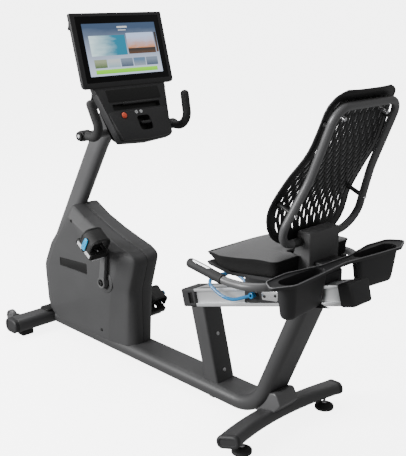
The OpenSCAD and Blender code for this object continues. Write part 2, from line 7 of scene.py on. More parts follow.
import json
import math

import bmesh
import bpy
from mathutils import Matrix, Vector


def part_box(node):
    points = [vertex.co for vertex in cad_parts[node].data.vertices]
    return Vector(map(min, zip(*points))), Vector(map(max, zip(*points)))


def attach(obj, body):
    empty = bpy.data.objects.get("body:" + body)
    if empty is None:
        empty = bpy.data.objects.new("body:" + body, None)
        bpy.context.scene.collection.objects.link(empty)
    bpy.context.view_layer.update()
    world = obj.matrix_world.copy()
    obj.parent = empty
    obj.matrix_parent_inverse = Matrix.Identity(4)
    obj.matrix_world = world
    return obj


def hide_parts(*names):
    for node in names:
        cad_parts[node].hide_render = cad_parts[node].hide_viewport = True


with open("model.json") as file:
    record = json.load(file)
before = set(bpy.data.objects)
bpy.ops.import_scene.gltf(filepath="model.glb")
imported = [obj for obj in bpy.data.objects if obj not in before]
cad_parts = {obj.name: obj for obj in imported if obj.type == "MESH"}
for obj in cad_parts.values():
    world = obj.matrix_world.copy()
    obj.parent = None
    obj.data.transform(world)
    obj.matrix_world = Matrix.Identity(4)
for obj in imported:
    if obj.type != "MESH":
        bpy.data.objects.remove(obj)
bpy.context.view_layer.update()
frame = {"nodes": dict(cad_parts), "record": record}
scene = bpy.context.scene

MM = 0.001
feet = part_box("foot_studs")
REAR_FEET = (feet[0].y + feet[1].y) / 2
SIDES = (-1, 1)


def put(p):
    return Vector((p[0] * MM, p[1] * MM + REAR_FEET, p[2] * MM))


def sin(a):
    return math.sin(math.radians(a))


def cos(a):
    return math.cos(math.radians(a))


def mix(a, b, t):
    return a + (b - a) * t


def clamp(t):
    return max(0.0, min(1.0, t))


def curve(points, t):
    """Height at t of the smooth curve through points (t, height), level beyond its ends."""
    if t <= points[0][0]:
        return points[0][1]
    for i in range(len(points) - 1):
        (t0, a), (t1, b) = points[i], points[i + 1]
        if t <= t1:
            before = points[max(i - 1, 0)]
            after = points[min(i + 2, len(points) - 1)]
            step = t1 - t0
            lead = (b - before[1]) / max(t1 - before[0], 1e-9) * step
            tail = (after[1] - a) / max(after[0] - t0, 1e-9) * step
            u = (t - t0) / step
            return (a * (2 * u**3 - 3 * u**2 + 1) + lead * (u**3 - 2 * u**2 + u)
                    + b * (3 * u**2 - 2 * u**3) + tail * (u**3 - u**2))
    return points[-1][1]


# ---- places of the design ----


def shift(x, y, z):
    return Matrix.Translation((x, y, z))


def turn(angle, axis):
    return Matrix.Rotation(math.radians(angle), 4, axis)


ON_RAIL = shift(0, 445, 330) @ turn(-15.8, "X")
ON_SCREEN = shift(0, 787, 1105) @ turn(-15.7, "X")
ON_POD = shift(0, 694, 907) @ turn(-26, "X")
ON_BACK = shift(0, -98, 703) @ turn(22.2, "X")
CRANK_LEAN = 8
CRANK_LENGTH = 165
ON_CRANK = shift(0, 862, 330) @ turn(CRANK_LEAN, "X")
ALONG_X = turn(90, "Y")
FACING_X = Matrix(((0, 0, 1, 0), (1, 0, 0, 0), (0, 1, 0, 0), (0, 0, 0, 1)))    # outline (y, z), depth x
FACING_BACK = Matrix(((1, 0, 0, 0), (0, 0, 1, 0), (0, 1, 0, 0), (0, 0, 0, 1)))  # outline (x, z), depth y


def at_pedal(side):
    return ON_CRANK @ shift(0, 0, -side * CRANK_LENGTH) @ turn(32 - CRANK_LEAN, "X")


# ---- outlines ----


def rounded(corners, n=6):
    """Outline through corners (a, b, radius), with n steps round each corner."""
    points = []
    for i, (a, b, r) in enumerate(corners):
        here = Vector((a, b))
        u = (Vector(corners[i - 1][:2]) - here).normalized()
        v = (Vector(corners[(i + 1) % len(corners)][:2]) - here).normalized()
        half = u.angle(v) / 2
        if r == 0 or half > math.radians(89.9):
            points += [here.copy() for _ in range(n + 1)] if r else [here]
            continue
        middle = here + (u + v).normalized() * r / math.sin(half)
        start = here + u * r / math.tan(half) - middle
        side = math.copysign(1, u.y * v.x - u.x * v.y)
        for k in range(n + 1):
            points.append(middle + Matrix.Rotation(side * (math.pi - 2 * half) * k / n, 2) @ start)
    return points


def box_outline(a0, b0, a1, b1, r, n=6):
    return rounded([(a0, b0, r), (a1, b0, r), (a1, b1, r), (a0, b1, r)], n)


def ring(r, n=32):
    return [Vector((r * cos(360 * k / n), r * sin(360 * k / n))) for k in range(n)]


def inset(outline, d):
    """The outline moved inwards by d."""
    if d == 0:
        return outline
    area = sum(p.cross(outline[(i + 1) % len(outline)]) for i, p in enumerate(outline))
    moved = []
    for i, p in enumerate(outline):
        ahead = outline[(i + 1) % len(outline)]
        behind = outline[i - 1]
        k = 1
        while (ahead - p).length < 1e-6:
            k += 1
            ahead = outline[(i + k) % len(outline)]
        k = 1
        while (p - behind).length < 1e-6:
            k += 1
            behind = outline[i - k]
        a, b = (p - behind).normalized(), (ahead - p).normalized()
        normal = Vector((-(a + b).y, (a + b).x)).normalized()
        stretch = max(normal.dot(Vector((-a.y, a.x))), 0.5)
        moved.append(p + normal * math.copysign(d, area) / stretch)
    return moved


# ---- solids ----


def loft(bm, rings, closed=False):
    """A skin over rings of equally many points, with flat ends, or joined up into a loop."""
    rows = [[bm.verts.new(p) for p in points] for points in rings]
    n = len(rows[0])
    pairs = list(zip(rows, rows[1:]))
    if closed:
        pairs.append((rows[-1], rows[0]))
    for a, b in pairs:
        for k in range(n):
            bm.faces.new((a[k], a[(k + 1) % n], b[(k + 1) % n], b[k]))
    if not closed:
        bm.faces.new(rows[0][::-1])
        bm.faces.new(rows[-1])


def placed(matrix, outline, depth=0.0):
    return [matrix @ Vector((p[0], p[1], depth)) for p in outline]


def slab(bm, matrix, outline, a, b, edge=2.0, steps=3):
    """The outline drawn out from depth a to b, with its rims rounded by edge."""
    rings = []
    for k in range(steps + 1):
        t = 90 * k / steps
        rings.append(placed(matrix, inset(outline, edge * (1 - sin(t))), a + edge * (1 - cos(t))))
    for k in range(steps, -1, -1):
        t = 90 * k / steps
        rings.append(placed(matrix, inset(outline, edge * (1 - sin(t))), b - edge * (1 - cos(t))))
    loft(bm, rings)


def brick(bm, matrix, lo, hi, edge=2.0, corner=None, steps=3):
    """A block between two corners with rounded edges."""
    size = min(hi[0] - lo[0], hi[1] - lo[1])
    r = min(corner if corner is not None else edge, size / 2 - 0.01)
    outline = box_outline(lo[0], lo[1], hi[0], hi[1], r, 4)
    slab(bm, matrix, outline, lo[2], hi[2], min(edge, (hi[2] - lo[2]) / 2 - 0.01), steps)


def lathe(bm, matrix, profile, n=48):
    """A turned shape: profile (radius, height) about the matrix's own Z."""
    loft(bm, [[matrix @ Vector((max(r, 0.01) * cos(360 * k / n), max(r, 0.01) * sin(360 * k / n), h))
               for k in range(n)] for r, h in profile])


def disc(r, a, b, edge=1.0, hole=0.0):
    """Profile of a round piece from height a to b with rounded rims."""
    arc = [0, 30, 60, 90]
    low = [(r - edge * (1 - sin(t)), a + edge * (1 - cos(t))) for t in arc]
    high = [(r - edge * (1 - sin(t)), b - edge * (1 - cos(t))) for t in reversed(arc)]
    return [(hole, a)] + low + high + [(hole, b)]


def stations(start, run, step=5):
    """Places along a path of straights [length] and bends [radius, turn, side]."""
    places = [start]
    for piece in run:
        base = places[-1]
        if len(piece) == 1:
            places.append(base @ shift(0, 0, piece[0]))
            continue
        radius, angle, side = piece
        count = max(2, math.ceil(angle / step))
        for k in range(1, count + 1):
            t = angle * k / count
            move = shift(radius * (1 - cos(t)), 0, radius * sin(t)) @ turn(t, "Y")
            places.append(base @ turn(side, "Z") @ move @ turn(-side, "Z"))
    return places


def sweep(bm, start, run, outline, dome=0.0, steps=5, step=5):
    """The outline swept along a path; dome rounds both ends by that much."""
    places = stations(start, run, step)
    reach = max(p.length for p in outline)

    def cap(place, way, k):
        t = 90 * k / steps
        return placed(place @ shift(0, 0, way * dome * cos(t)),
                      [p * (1 - dome / reach * (1 - sin(t))) for p in outline])

    first = [cap(places[0], -1, k) for k in range(steps)] if dome else []
    last = [cap(places[-1], 1, k) for k in reversed(range(steps))] if dome else []
    loft(bm, first + [placed(place, outline) for place in places] + last)


def thread(bm, points, r, n=12, closed=False):
    """A round bead of radius r through points."""
    count = len(points)
    rings = []
    up = Vector((0, 0, 1))
    for i, p in enumerate(points):
        ahead = points[(i + 1) % count] if closed or i + 1 < count else p
        behind = points[i - 1] if closed or i else p
        along = (Vector(ahead) - Vector(behind)).normalized()
        side = along.cross(up).normalized() if abs(along.dot(up)) < 0.95 else along.cross(Vector((0, 1,
                                                                                                  0))).normalized()
        over = side.cross(along)
        rings.append([Vector(p) + side * r * cos(360 * k / n) + over * r * sin(360 * k / n) for k in range(n)])
    loft(bm, rings, closed)


def cut(bm, point, normal):
    """Cuts away what lies on the normal's side of a plane and closes the hole."""
    made = bmesh.ops.bisect_plane(bm, geom=bm.verts[:] + bm.edges[:] + bm.faces[:], plane_co=point,
                                  plane_no=normal, clear_outer=True)
    rim = [e for e in made["geom_cut"] if isinstance(e, bmesh.types.BMEdge)]
    bmesh.ops.edgenet_fill(bm, edges=rim)


def piece(name, bm, material, body="frame", stands_for=(), bevel=0.0, sharp=40, smooth=0):
    """Makes the mesh an object that rides on a body and hides the CAD nodes that it replaces."""
    bmesh.ops.remove_doubles(bm, verts=bm.verts, dist=0.005)
    bmesh.ops.recalc_face_normals(bm, faces=bm.faces)
    for v in bm.verts:
        v.co = put(v.co)
    mesh = bpy.data.meshes.new(name)
    bm.to_mesh(mesh)
    bm.free()
    mesh.materials.append(material)
    mesh.shade_smooth()
    mesh.set_sharp_from_angle(angle=math.radians(sharp))
    thing = bpy.data.objects.new(name, mesh)
    scene.collection.objects.link(thing)
    if bevel:
        edges = thing.modifiers.new("edges", "BEVEL")
        edges.width = bevel * MM
        edges.segments = 3
        edges.limit_method = "ANGLE"
        edges.angle_limit = math.radians(35)
        edges.harden_normals = True
    if smooth:
        surface = thing.modifiers.new("surface", "SUBSURF")
        surface.levels = surface.render_levels = smooth
    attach(thing, body)
    if stands_for:
        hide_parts(*stands_for)
    return thing


def carve(thing, cutters, solver="EXACT"):
    """Takes the cutters' shapes out of a piece, then removes them."""
    for cutter in cutters:
        tool = thing.modifiers.new("carve", "BOOLEAN")
        tool.operation = "DIFFERENCE"
        tool.solver = solver
        tool.object = cutter
    graph = bpy.context.evaluated_depsgraph_get()
    graph.update()
    mesh = bpy.data.meshes.new_from_object(thing.evaluated_get(graph))
    thing.modifiers.clear()
    thing.data = mesh
    mesh.shade_smooth()
    mesh.set_sharp_from_angle(angle=math.radians(35))
    for cutter in cutters:
        bpy.data.objects.remove(cutter)


def cutter(bm):
    bmesh.ops.recalc_face_normals(bm, faces=bm.faces)
    for v in bm.verts:
        v.co = put(v.co)
    mesh = bpy.data.meshes.new("cutter")
    bm.to_mesh(mesh)
    bm.free()
    thing = bpy.data.objects.new("cutter", mesh)
    scene.collection.objects.link(thing)
    return thing


# ---- materials ----


def blank(name, slot):
    """A new material, its node tree and its shader."""
    material = bpy.data.materials.new(name)
    material.use_nodes = True
    material["slot"] = slot
    return material, material.node_tree, material.node_tree.nodes["Principled BSDF"]


def add(tree, kind, **settings):
    node = tree.nodes.new(kind)
    for key, value in settings.items():
        if key in node.inputs.keys():
            node.inputs[key].default_value = value
        else:
            setattr(node, key, value)
    return node


def surface_point(tree, stretch=(1, 1, 1)):
    """The place on the piece, in metres, stretched along its axes."""
    where = add(tree, "ShaderNodeTexCoord")
    mapping = add(tree, "ShaderNodeMapping", Scale=stretch)
    tree.links.new(where.outputs["Object"], mapping.inputs["Vector"])
    return mapping.outputs["Vector"]


def tint(tree, shader, colour, factor, spread):
    """Base colour that wanders by spread to either side of colour."""
    blend = add(tree, "ShaderNodeMix", data_type="RGBA")
    blend.inputs[6].default_value = (*[c * (1 - spread) for c in colour], 1)
    blend.inputs[7].default_value = (*[min(c * (1 + spread), 1) for c in colour], 1)
    tree.links.new(factor, blend.inputs[0])
    tree.links.new(blend.outputs[2], shader.inputs["Base Color"])
    return blend


def wander(tree, shader, factor, low, high):
    """Roughness between low and high."""
    span = add(tree, "ShaderNodeMapRange")
    span.inputs["To Min"].default_value = low
    span.inputs["To Max"].default_value = high
    tree.links.new(factor, span.inputs["Value"])
    tree.links.new(span.outputs["Result"], shader.inputs["Roughness"])


def relief(tree, shader, height, depth, strength=1.0):
    """Small surface relief of depth metres."""
    bump = add(tree, "ShaderNodeBump", Strength=strength, Distance=depth)
    tree.links.new(height, bump.inputs["Height"])
    tree.links.new(bump.outputs["Normal"], shader.inputs["Normal"])


def paint(name, slot, colour, roughness=0.42, metallic=0.0, coat=0.0):
    """Powder-coated metal: fine orange-peel relief and slow changes of tone."""
    material, tree, shader = blank(name, slot)
    place = surface_point(tree)
    slow = add(tree, "ShaderNodeTexNoise", Scale=5.0, Detail=5.0)
    fine = add(tree, "ShaderNodeTexNoise", Scale=1400.0, Detail=2.0)
    for node in (slow, fine):
        tree.links.new(place, node.inputs["Vector"])
    tint(tree, shader, colour, slow.outputs["Fac"], 0.14)
    wander(tree, shader, slow.outputs["Fac"], roughness - 0.07, roughness + 0.09)
    relief(tree, shader, fine.outputs["Fac"], 0.00012, 0.35)
    shader.inputs["Metallic"].default_value = metallic
    shader.inputs["Coat Weight"].default_value = coat
    shader.inputs["Coat Roughness"].default_value = 0.25
    return material


def moulding(name, slot, colour, roughness=0.5, grain=900.0, depth=0.00016):
    """Injection-moulded plastic with a fine pebbled grain."""
    material, tree, shader = blank(name, slot)
    place = surface_point(tree)
    slow = add(tree, "ShaderNodeTexNoise", Scale=7.0, Detail=4.0)
    pebbles = add(tree, "ShaderNodeTexVoronoi", Scale=grain, feature="SMOOTH_F1")
    for node in (slow, pebbles):
        tree.links.new(place, node.inputs["Vector"])
    tint(tree, shader, colour, slow.outputs["Fac"], 0.12)
    wander(tree, shader, slow.outputs["Fac"], roughness - 0.06, roughness + 0.08)
    relief(tree, shader, pebbles.outputs["Distance"], depth, 0.4)
    shader.inputs["Specular IOR Level"].default_value = 0.3
    return material


def leather(name, slot, colour, roughness=0.5):
    """Vinyl with a leather grain of small creased cells."""
    material, tree, shader = blank(name, slot)
    place = surface_point(tree)
    slow = add(tree, "ShaderNodeTexNoise", Scale=9.0, Detail=6.0)
    cells = add(tree, "ShaderNodeTexVoronoi", Scale=420.0, feature="DISTANCE_TO_EDGE")
    fine = add(tree, "ShaderNodeTexNoise", Scale=1500.0, Detail=3.0)
    for node in (slow, cells, fine):
        tree.links.new(place, node.inputs["Vector"])
    creases = add(tree, "ShaderNodeMapRange")
    creases.inputs["From Max"].default_value = 0.25
    tree.links.new(cells.outputs["Distance"], creases.inputs["Value"])
    height = add(tree, "ShaderNodeMath", operation="MULTIPLY_ADD")
    height.inputs[1].default_value = 0.25
    tree.links.new(fine.outputs["Fac"], height.inputs[0])
    tree.links.new(creases.outputs["Result"], height.inputs[2])
    tint(tree, shader, colour, slow.outputs["Fac"], 0.16)
    wander(tree, shader, slow.outputs["Fac"], roughness - 0.08, roughness + 0.1)
    relief(tree, shader, height.outputs["Value"], 0.0003, 0.5)
    shader.inputs["Sheen Weight"].default_value = 0.12
    shader.inputs["Sheen Roughness"].default_value = 0.5
    return material


def weave(name, slot, colour, pitch=900.0):
    """Woven cloth made of two crossing sets of threads."""
    material, tree, shader = blank(name, slot)
    threads = []
    for direction in ("X", "Y"):
        bands = add(tree, "ShaderNodeTexWave", Scale=pitch, Distortion=1.5, bands_direction=direction)
        tree.links.new(surface_point(tree), bands.inputs["Vector"])
        threads.append(bands.outputs["Fac"])
    both = add(tree, "ShaderNodeMath", operation="MULTIPLY")
    tree.links.new(threads[0], both.inputs[0])
    tree.links.new(threads[1], both.inputs[1])
    slow = add(tree, "ShaderNodeTexNoise", Scale=14.0, Detail=5.0)
    tree.links.new(surface_point(tree), slow.inputs["Vector"])
    tint(tree, shader, colour, slow.outputs["Fac"], 0.25)
    wander(tree, shader, slow.outputs["Fac"], 0.72, 0.9)
    relief(tree, shader, both.outputs["Value"], 0.0003, 0.6)
    shader.inputs["Specular IOR Level"].default_value = 0.2
    return material


def brushed(name, slot, colour, roughness=0.32, along=(1, 0.03, 1)):
    """Bare metal with fine drawn lines along one axis."""
    material, tree, shader = blank(name, slot)
    lines = add(tree, "ShaderNodeTexNoise", Scale=900.0, Detail=3.0)
    tree.links.new(surface_point(tree, along), lines.inputs["Vector"])
    slow = add(tree, "ShaderNodeTexNoise", Scale=6.0, Detail=4.0)
    tree.links.new(surface_point(tree), slow.inputs["Vector"])
    tint(tree, shader, colour, slow.outputs["Fac"], 0.08)
    wander(tree, shader, lines.outputs["Fac"], roughness - 0.08, roughness + 0.12)
    relief(tree, shader, lines.outputs["Fac"], 0.00006, 0.3)
    shader.inputs["Metallic"].default_value = 0.9
    return material


def soft_rubber(name, slot, colour):
    """Rubber or foam, dull, with a fine skin."""
    material, tree, shader = blank(name, slot)
    place = surface_point(tree)
    slow = add(tree, "ShaderNodeTexNoise", Scale=20.0, Detail=5.0)
    skin = add(tree, "ShaderNodeTexNoise", Scale=1800.0, Detail=2.0)
    for node in (slow, skin):
        tree.links.new(place, node.inputs["Vector"])
    tint(tree, shader, colour, slow.outputs["Fac"], 0.2)
    wander(tree, shader, slow.outputs["Fac"], 0.62, 0.82)
    relief(tree, shader, skin.outputs["Fac"], 0.0002, 0.45)
    return material


def glossy(name, slot, colour, roughness=0.22, coat=0.3):
    """Shiny coloured plastic with faint swirl marks."""
    material, tree, shader = blank(name, slot)
    place = surface_point(tree)
    slow = add(tree, "ShaderNodeTexNoise", Scale=16.0, Detail=4.0)
    swirl = add(tree, "ShaderNodeTexNoise", Scale=700.0, Detail=4.0, Distortion=1.2)
    for node in (slow, swirl):
        tree.links.new(place, node.inputs["Vector"])
    tint(tree, shader, colour, slow.outputs["Fac"], 0.08)
    wander(tree, shader, swirl.outputs["Fac"], roughness - 0.05, roughness + 0.1)
    relief(tree, shader, swirl.outputs["Fac"], 0.00005, 0.2)
    shader.inputs["Coat Weight"].default_value = coat
    return material


def lit_picture(name, low, high, scale=0.0, strength=0.9, axis=2, rough=0.12):
    """A glowing area of the display whose colour runs from low to high up the screen."""
    material, tree, shader = blank(name, "screen")
    where = add(tree, "ShaderNodeTexCoord")
    split = add(tree, "ShaderNodeSeparateXYZ")
    tree.links.new(where.outputs["Generated"], split.inputs["Vector"])
    clouds = add(tree, "ShaderNodeTexNoise", Scale=3.0 + scale, Detail=6.0)
    tree.links.new(where.outputs["Generated"], clouds.inputs["Vector"])
    swing = add(tree, "ShaderNodeMath", operation="MULTIPLY_ADD")
    swing.inputs[1].default_value = 0.55 if scale else 0.2
    tree.links.new(clouds.outputs["Fac"], swing.inputs[0])
    tree.links.new(split.outputs[axis], swing.inputs[2])
    ramp = add(tree, "ShaderNodeValToRGB")
    ramp.color_ramp.elements[0].color = (*low, 1)
    ramp.color_ramp.elements[0].position = 0.2
    ramp.color_ramp.elements[1].color = (*high, 1)
    ramp.color_ramp.elements[1].position = 1.25 if scale else 1.1
    tree.links.new(swing.outputs["Value"], ramp.inputs["Fac"])
    tree.links.new(ramp.outputs["Color"], shader.inputs["Emission Color"])
    shader.inputs["Emission Strength"].default_value = strength
    shader.inputs["Base Color"].default_value = (0.01, 0.01, 0.012, 1)
    shader.inputs["Roughness"].default_value = rough
    return material


charcoal = paint("charcoal_powder_coat", "charcoal_paint", (0.04, 0.04, 0.041), 0.46)
metallic_grey = paint("metallic_grey_paint", "grey_paint", (0.1, 0.1, 0.102), 0.4, 0.3)
bracket_grey = paint("bracket_grey_paint", "grey_paint", (0.055, 0.055, 0.056), 0.5)
black_coat = paint("black_coated_steel", "black_steel", (0.012, 0.012, 0.012), 0.42)
crank_grey = paint("crank_grey_paint", "black_steel", (0.075, 0.075, 0.076), 0.42)
housing_skin = moulding("housing_grain", "housing_plastic", (0.05, 0.05, 0.051), 0.55, 700.0)
dark_plastic = moulding("dark_moulding", "dark_plastic", (0.026, 0.026, 0.027), 0.52)
grey_plastic = moulding("console_moulding", "dark_plastic", (0.024, 0.024, 0.025), 0.5)
tray_plastic = moulding("tray_moulding", "dark_plastic", (0.02, 0.02, 0.021), 0.5, 600.0)
# pale grey painted highlight for the tray's rim bead: far lighter than the tray, standing in for the bright line
# that light draws along its edge
tray_rim_highlight_plastic = moulding("tray_rim_painted_highlight", "dark_plastic", (0.16, 0.16, 0.165), 0.4)
black_plastic = moulding("black_moulding", "dark_plastic", (0.006, 0.006, 0.006), 0.5)
mesh_plastic = moulding("backrest_mesh_moulding", "mesh", (0.01, 0.01, 0.0105), 0.45)
vinyl = leather("seat_vinyl", "vinyl", (0.045, 0.045, 0.046), 0.56)
side_cloth = weave("seat_side_cloth", "vinyl", (0.008, 0.008, 0.008))
strap_web = soft_rubber("pedal_strap_rubber", "rubber", (0.01, 0.01, 0.01))
rubber = soft_rubber("rubber_feet_skin", "rubber", (0.01, 0.01, 0.01))
grip_foam = soft_rubber("grip_foam_skin", "rubber", (0.012, 0.012, 0.0125))
aluminium = brushed("anodised_aluminium", "aluminium", (0.72, 0.73, 0.74), 0.38)
sensor_metal = brushed("sensor_steel", "aluminium", (0.85, 0.85, 0.86), 0.22)
bright_steel = brushed("zinc_steel", "steel", (0.55, 0.55, 0.56), 0.3, (1, 1, 1))
lever_blue = glossy("lever_blue_plastic", "blue_plastic", (0.006, 0.15, 0.36))
buckle_cyan = glossy("buckle_cyan_plastic", "cyan_plastic", (0.01, 0.33, 0.62))
button_red = glossy("button_red_plastic", "red_plastic", (0.8, 0.09, 0.035))
pale_plastic = glossy("pale_plastic", "light_plastic", (0.55, 0.56, 0.57), 0.35)
wheel_plastic = glossy("wheel_plastic", "light_plastic", (0.09, 0.09, 0.092), 0.45)
glass = glossy("display_glass", "screen", (0.003, 0.003, 0.0035), 0.1, 0.0)
glass.node_tree.nodes["Principled BSDF"].inputs["Specular IOR Level"].default_value = 0.12


# ---- frame ----

RAIL_LOW = ON_RAIL @ Vector((0, 0, 0))
RAIL_UP = (ON_RAIL @ Vector((0, 0, 1))) - RAIL_LOW


def main_tube():
    bm = bmesh.new()
    start = shift(0, 1274, 53) @ turn(90, "X") @ turn(90, "Z")
    sweep(bm, start, [[1084], [140, 66.8, 0], [400]], box_outline(-29, -65, 29, 65, 27, 8), step=3)
    cut(bm, RAIL_LOW, RAIL_UP)
    piece("main_tube_skin", bm, charcoal, stands_for=["main_tube"])


def mast():
    bm = bmesh.new()
    start = shift(0, 1291, 360) @ turn(31, "X") @ turn(-90, "Z")
    sweep(bm, start, [[566], [420, 9, 0], [40]], box_outline(-44, -28, 44, 28, 27.8, 8), step=1.5)
    cut(bm, Vector((0, 0, 402)), Vector((0, 0, -1)))
    piece("mast_skin", bm, metallic_grey, stands_for=["mast"])


FRONT_Y = 1316
STABILIZER = box_outline(FRONT_Y - 42, 24, FRONT_Y + 42, 86, 26, 8)


def front_stabilizer():
    bm = bmesh.new()
    slab(bm, FACING_X, STABILIZER, -240, 240, 0.5, 1)
    piece("front_stabilizer_skin", bm, charcoal, stands_for=["front_stabilizer"])


def rear_arc(angle):
    """Place on the curved rear stabilizer's centre line, looking along it."""
    return shift(0, 44, 52) @ turn(-12, "X") @ shift(0, -887, 0) @ turn(-angle, "Z") @ shift(0, 887,
                                                                                             0) @ ALONG_X


def rear_stabilizer():
    bm = bmesh.new()
    outline = box_outline(-21, -40, 21, 40, 19, 8)
    count = 32
    loft(bm, [placed(rear_arc(mix(-17.6, 17.6, k / count)), outline) for k in range(count + 1)])
    piece("rear_stabilizer_skin", bm, charcoal, stands_for=["rear_stabilizer"])


def stabilizer_caps():
    bm = bmesh.new()
    for s in SIDES:
        ring_sizes = [(240.5, -1.5), (252, -1.5), (257, -0.4), (260.5, 3), (262, 7.5), (262, 9),
                      (257, 11.5)]
        loft(bm, [placed(FACING_X, inset(STABILIZER, d), s * x) for x, d in ring_sizes])
        base = rear_arc(s * 17.62)
        outline = box_outline(-22, -41, 22, 41, 20, 8)
        loft(bm, [placed(base, inset(outline, d), s * h)
                  for h, d in [(0.2, 0), (9, 0), (13, 1.2), (15.4, 4), (16, 8), (16, 10), (13, 12)]])
    piece("stabilizer_end_caps", bm, dark_plastic, stands_for=["stabilizer_caps"])


def feet_and_studs():
    bm = bmesh.new()
    for s in SIDES:
        lathe(bm, shift(s * 214, 0, 0), [(0, 0), (31, 0), (33.4, 1), (34, 2.4), (34, 10.6), (33, 12),
                                         (30.5, 13), (27, 15), (21, 18.4), (18, 20), (6, 20), (6, 18)])
        brick(bm, shift(s * 188, FRONT_Y, 0), (-28, -22, 0), (28, 22, 24.5), 3, 6)
    brick(bm, Matrix.Identity(4), (-20, 322, 0), (20, 350, 25), 3, 5)
    piece("rubber_foot_pads", bm, rubber, stands_for=["rubber_feet"])
    bm = bmesh.new()
    for s in SIDES:
        lathe(bm, shift(s * 214, 0, 0), [(0, 18)] + [(r, z) for z in range(20, 40, 2)
                                                      for r in (5.0, 4.4)] + [(0, 44)], 24)
        slab(bm, shift(s * 214, 0, 20), ring(9, 6), 0, 6, 0.8, 2)
    piece("foot_stud_threads", bm, bright_steel, stands_for=["foot_studs"])


def rear_gusset():
    bm = bmesh.new()
    outline = rounded([(120, 60, 6), (64, 128, 14), (6, 146, 14), (-16, 104, 10), (20, 60, 10),
                       (60, 44, 10)], 5)
    slab(bm, FACING_X, outline, -48, 48, 5, 4)
    piece("rear_gusset_plate", bm, metallic_grey, stands_for=["rear_gusset"])


def seat_post():
    bm = bmesh.new()
    low, high = rounded([(278, -45, 10), (346, -45, 10), (346, 45, 10), (278, 45, 10)]), \
        rounded([(371, -45, 10), (444, -45, 10), (444, 45, 10), (371, 45, 10)])
    loft(bm, [[Vector((p.y, p.x, z)) for p in outline] for outline, z in ((low, 70), (high, 420))])
    cut(bm, RAIL_LOW, RAIL_UP)
    piece("seat_post_box", bm, charcoal, stands_for=["seat_post"])
    bm = bmesh.new()
    lean = math.degrees(math.atan2(93, 350))
    for z in (120, 250):
        y = 278 + (z - 70) * 93 / 350
        matrix = shift(0, y, z) @ turn(90 - lean, "X")
        lathe(bm, matrix, [(0, -1), (7, -1), (7, 0.5), (6.4, 2.2), (4.6, 3.2), (3, 3.2), (2.6, 1.2),
                           (0, 1.2)], 24)
    piece("post_screw_heads", bm, bright_steel, stands_for=["post_screws"])


def rail():
    w, h, web = 43, 65, 34
    section = rounded([(-w, 0, 1.5), (w, 0, 1.5), (w, 13, 1.5), (web, 13, 2), (web, h - 10, 2),
                       (w, h - 10, 1.5),
                       (w, h, 1.5), (-w, h, 1.5), (-w, h - 10, 1.5), (-web, h - 10, 2), (-web, 13, 2),
                       (-w, 13, 1.5)], 4)
    bm = bmesh.new()
    along = ON_RAIL @ turn(90, "X")
    slab(bm, along, section, 59, 711, 0.4, 1)
    piece("rail_extrusion", bm, aluminium, stands_for=["rail"])
    bm = bmesh.new()
    for s in SIDES:
        slab(bm, ON_RAIL @ shift(s * 25, 0, h - 0.6), box_outline(-4, -690, 4, -80, 1), 0, 1.4, 0.3, 1)
    piece("rail_wear_strips", bm, dark_plastic)
    bm = bmesh.new()
    brick(bm, ON_RAIL @ shift(0, -60, 0) @ turn(-90, "X"), (-45, -h - 2, 0), (45, 0, 70), 6, 7, 4)
    front = piece("rail_front_end_cap", bm, dark_plastic, stands_for=["rail_front_cap"])
    bm = bmesh.new()
    for s in SIDES:
        brick(bm, ON_RAIL, (s * 46 - 10, -50, 13), (s * 46 + 10, -26, h - 12), 2, 4)
    carve(front, [cutter(bm)])
    # painted shade: thin black plates at the floors of the front cap's carved recesses, darkening the holes
    bm = bmesh.new()
    for s in SIDES:
        brick(bm, ON_RAIL, (s * 37 - 0.8, -49, 14), (s * 37 + 0.8, -27, h - 13), 0.5, 2)
    piece("rail_cap_recess_painted_shade", bm, black_plastic)
    bm = bmesh.new()
    brick(bm, ON_RAIL @ shift(0, -762, 0) @ turn(-90, "X"), (-47, -h - 3, 0), (47, 4, 52), 7, 9, 4)
    piece("rail_rear_end_cap", bm, dark_plastic, stands_for=["rail_rear_cap"])


# ---- drive housing ----

FACE = [(868, 76, 6), (1200, 76, 20), (1250, 120, 25), (1262, 300, 80), (1205, 410, 40), (1101, 550, 8),
        (1040, 521, 60), (969, 493, 100), (876, 477, 80), (814, 464, 25), (781, 432, 30), (829, 306, 120)]
RIDGE = [(772, 76, 6), (1300, 82, 20), (1318, 130, 30), (1331, 290, 80), (1276, 395, 40), (1104, 594, 8),
         (1021, 552, 60), (913, 515, 100), (823, 489, 80), (756, 472, 25), (712, 452, 25), (757, 300, 120)]
SPINE = [(742, 76, 6), (1326, 86, 20), (1340, 130, 30), (1350, 290, 80), (1290, 400, 40), (1112, 594, 8),
         (1021, 553, 60), (907, 512, 100), (815, 485, 80), (748, 466, 25), (703, 444, 30), (745, 300, 120)]
HALF_WIDTH = 90


def housing_outline(x):
    """Outline of the housing x from its middle: spine, then a ridge, then the bevel to the flat side."""
    near = [rounded(SPINE), rounded(RIDGE), rounded(FACE)]

    def level(v):
        if v < 62:
            t, low, high = clamp((v - 20) / 42) ** 2, near[0], near[1]
        else:
            t, low, high = clamp((v - 62) / 28), near[1], near[2]
        return [a.lerp(b, t) for a, b in zip(low, high)]

    spread = 4 if x < 80 else 0
    layers = [level(x + d) for d in (-spread, -spread / 2, 0, spread / 2, spread)]
    return [sum((layer[i] for layer in layers),
                Vector((0, 0))) / len(layers) for i in range(len(layers[0]))]


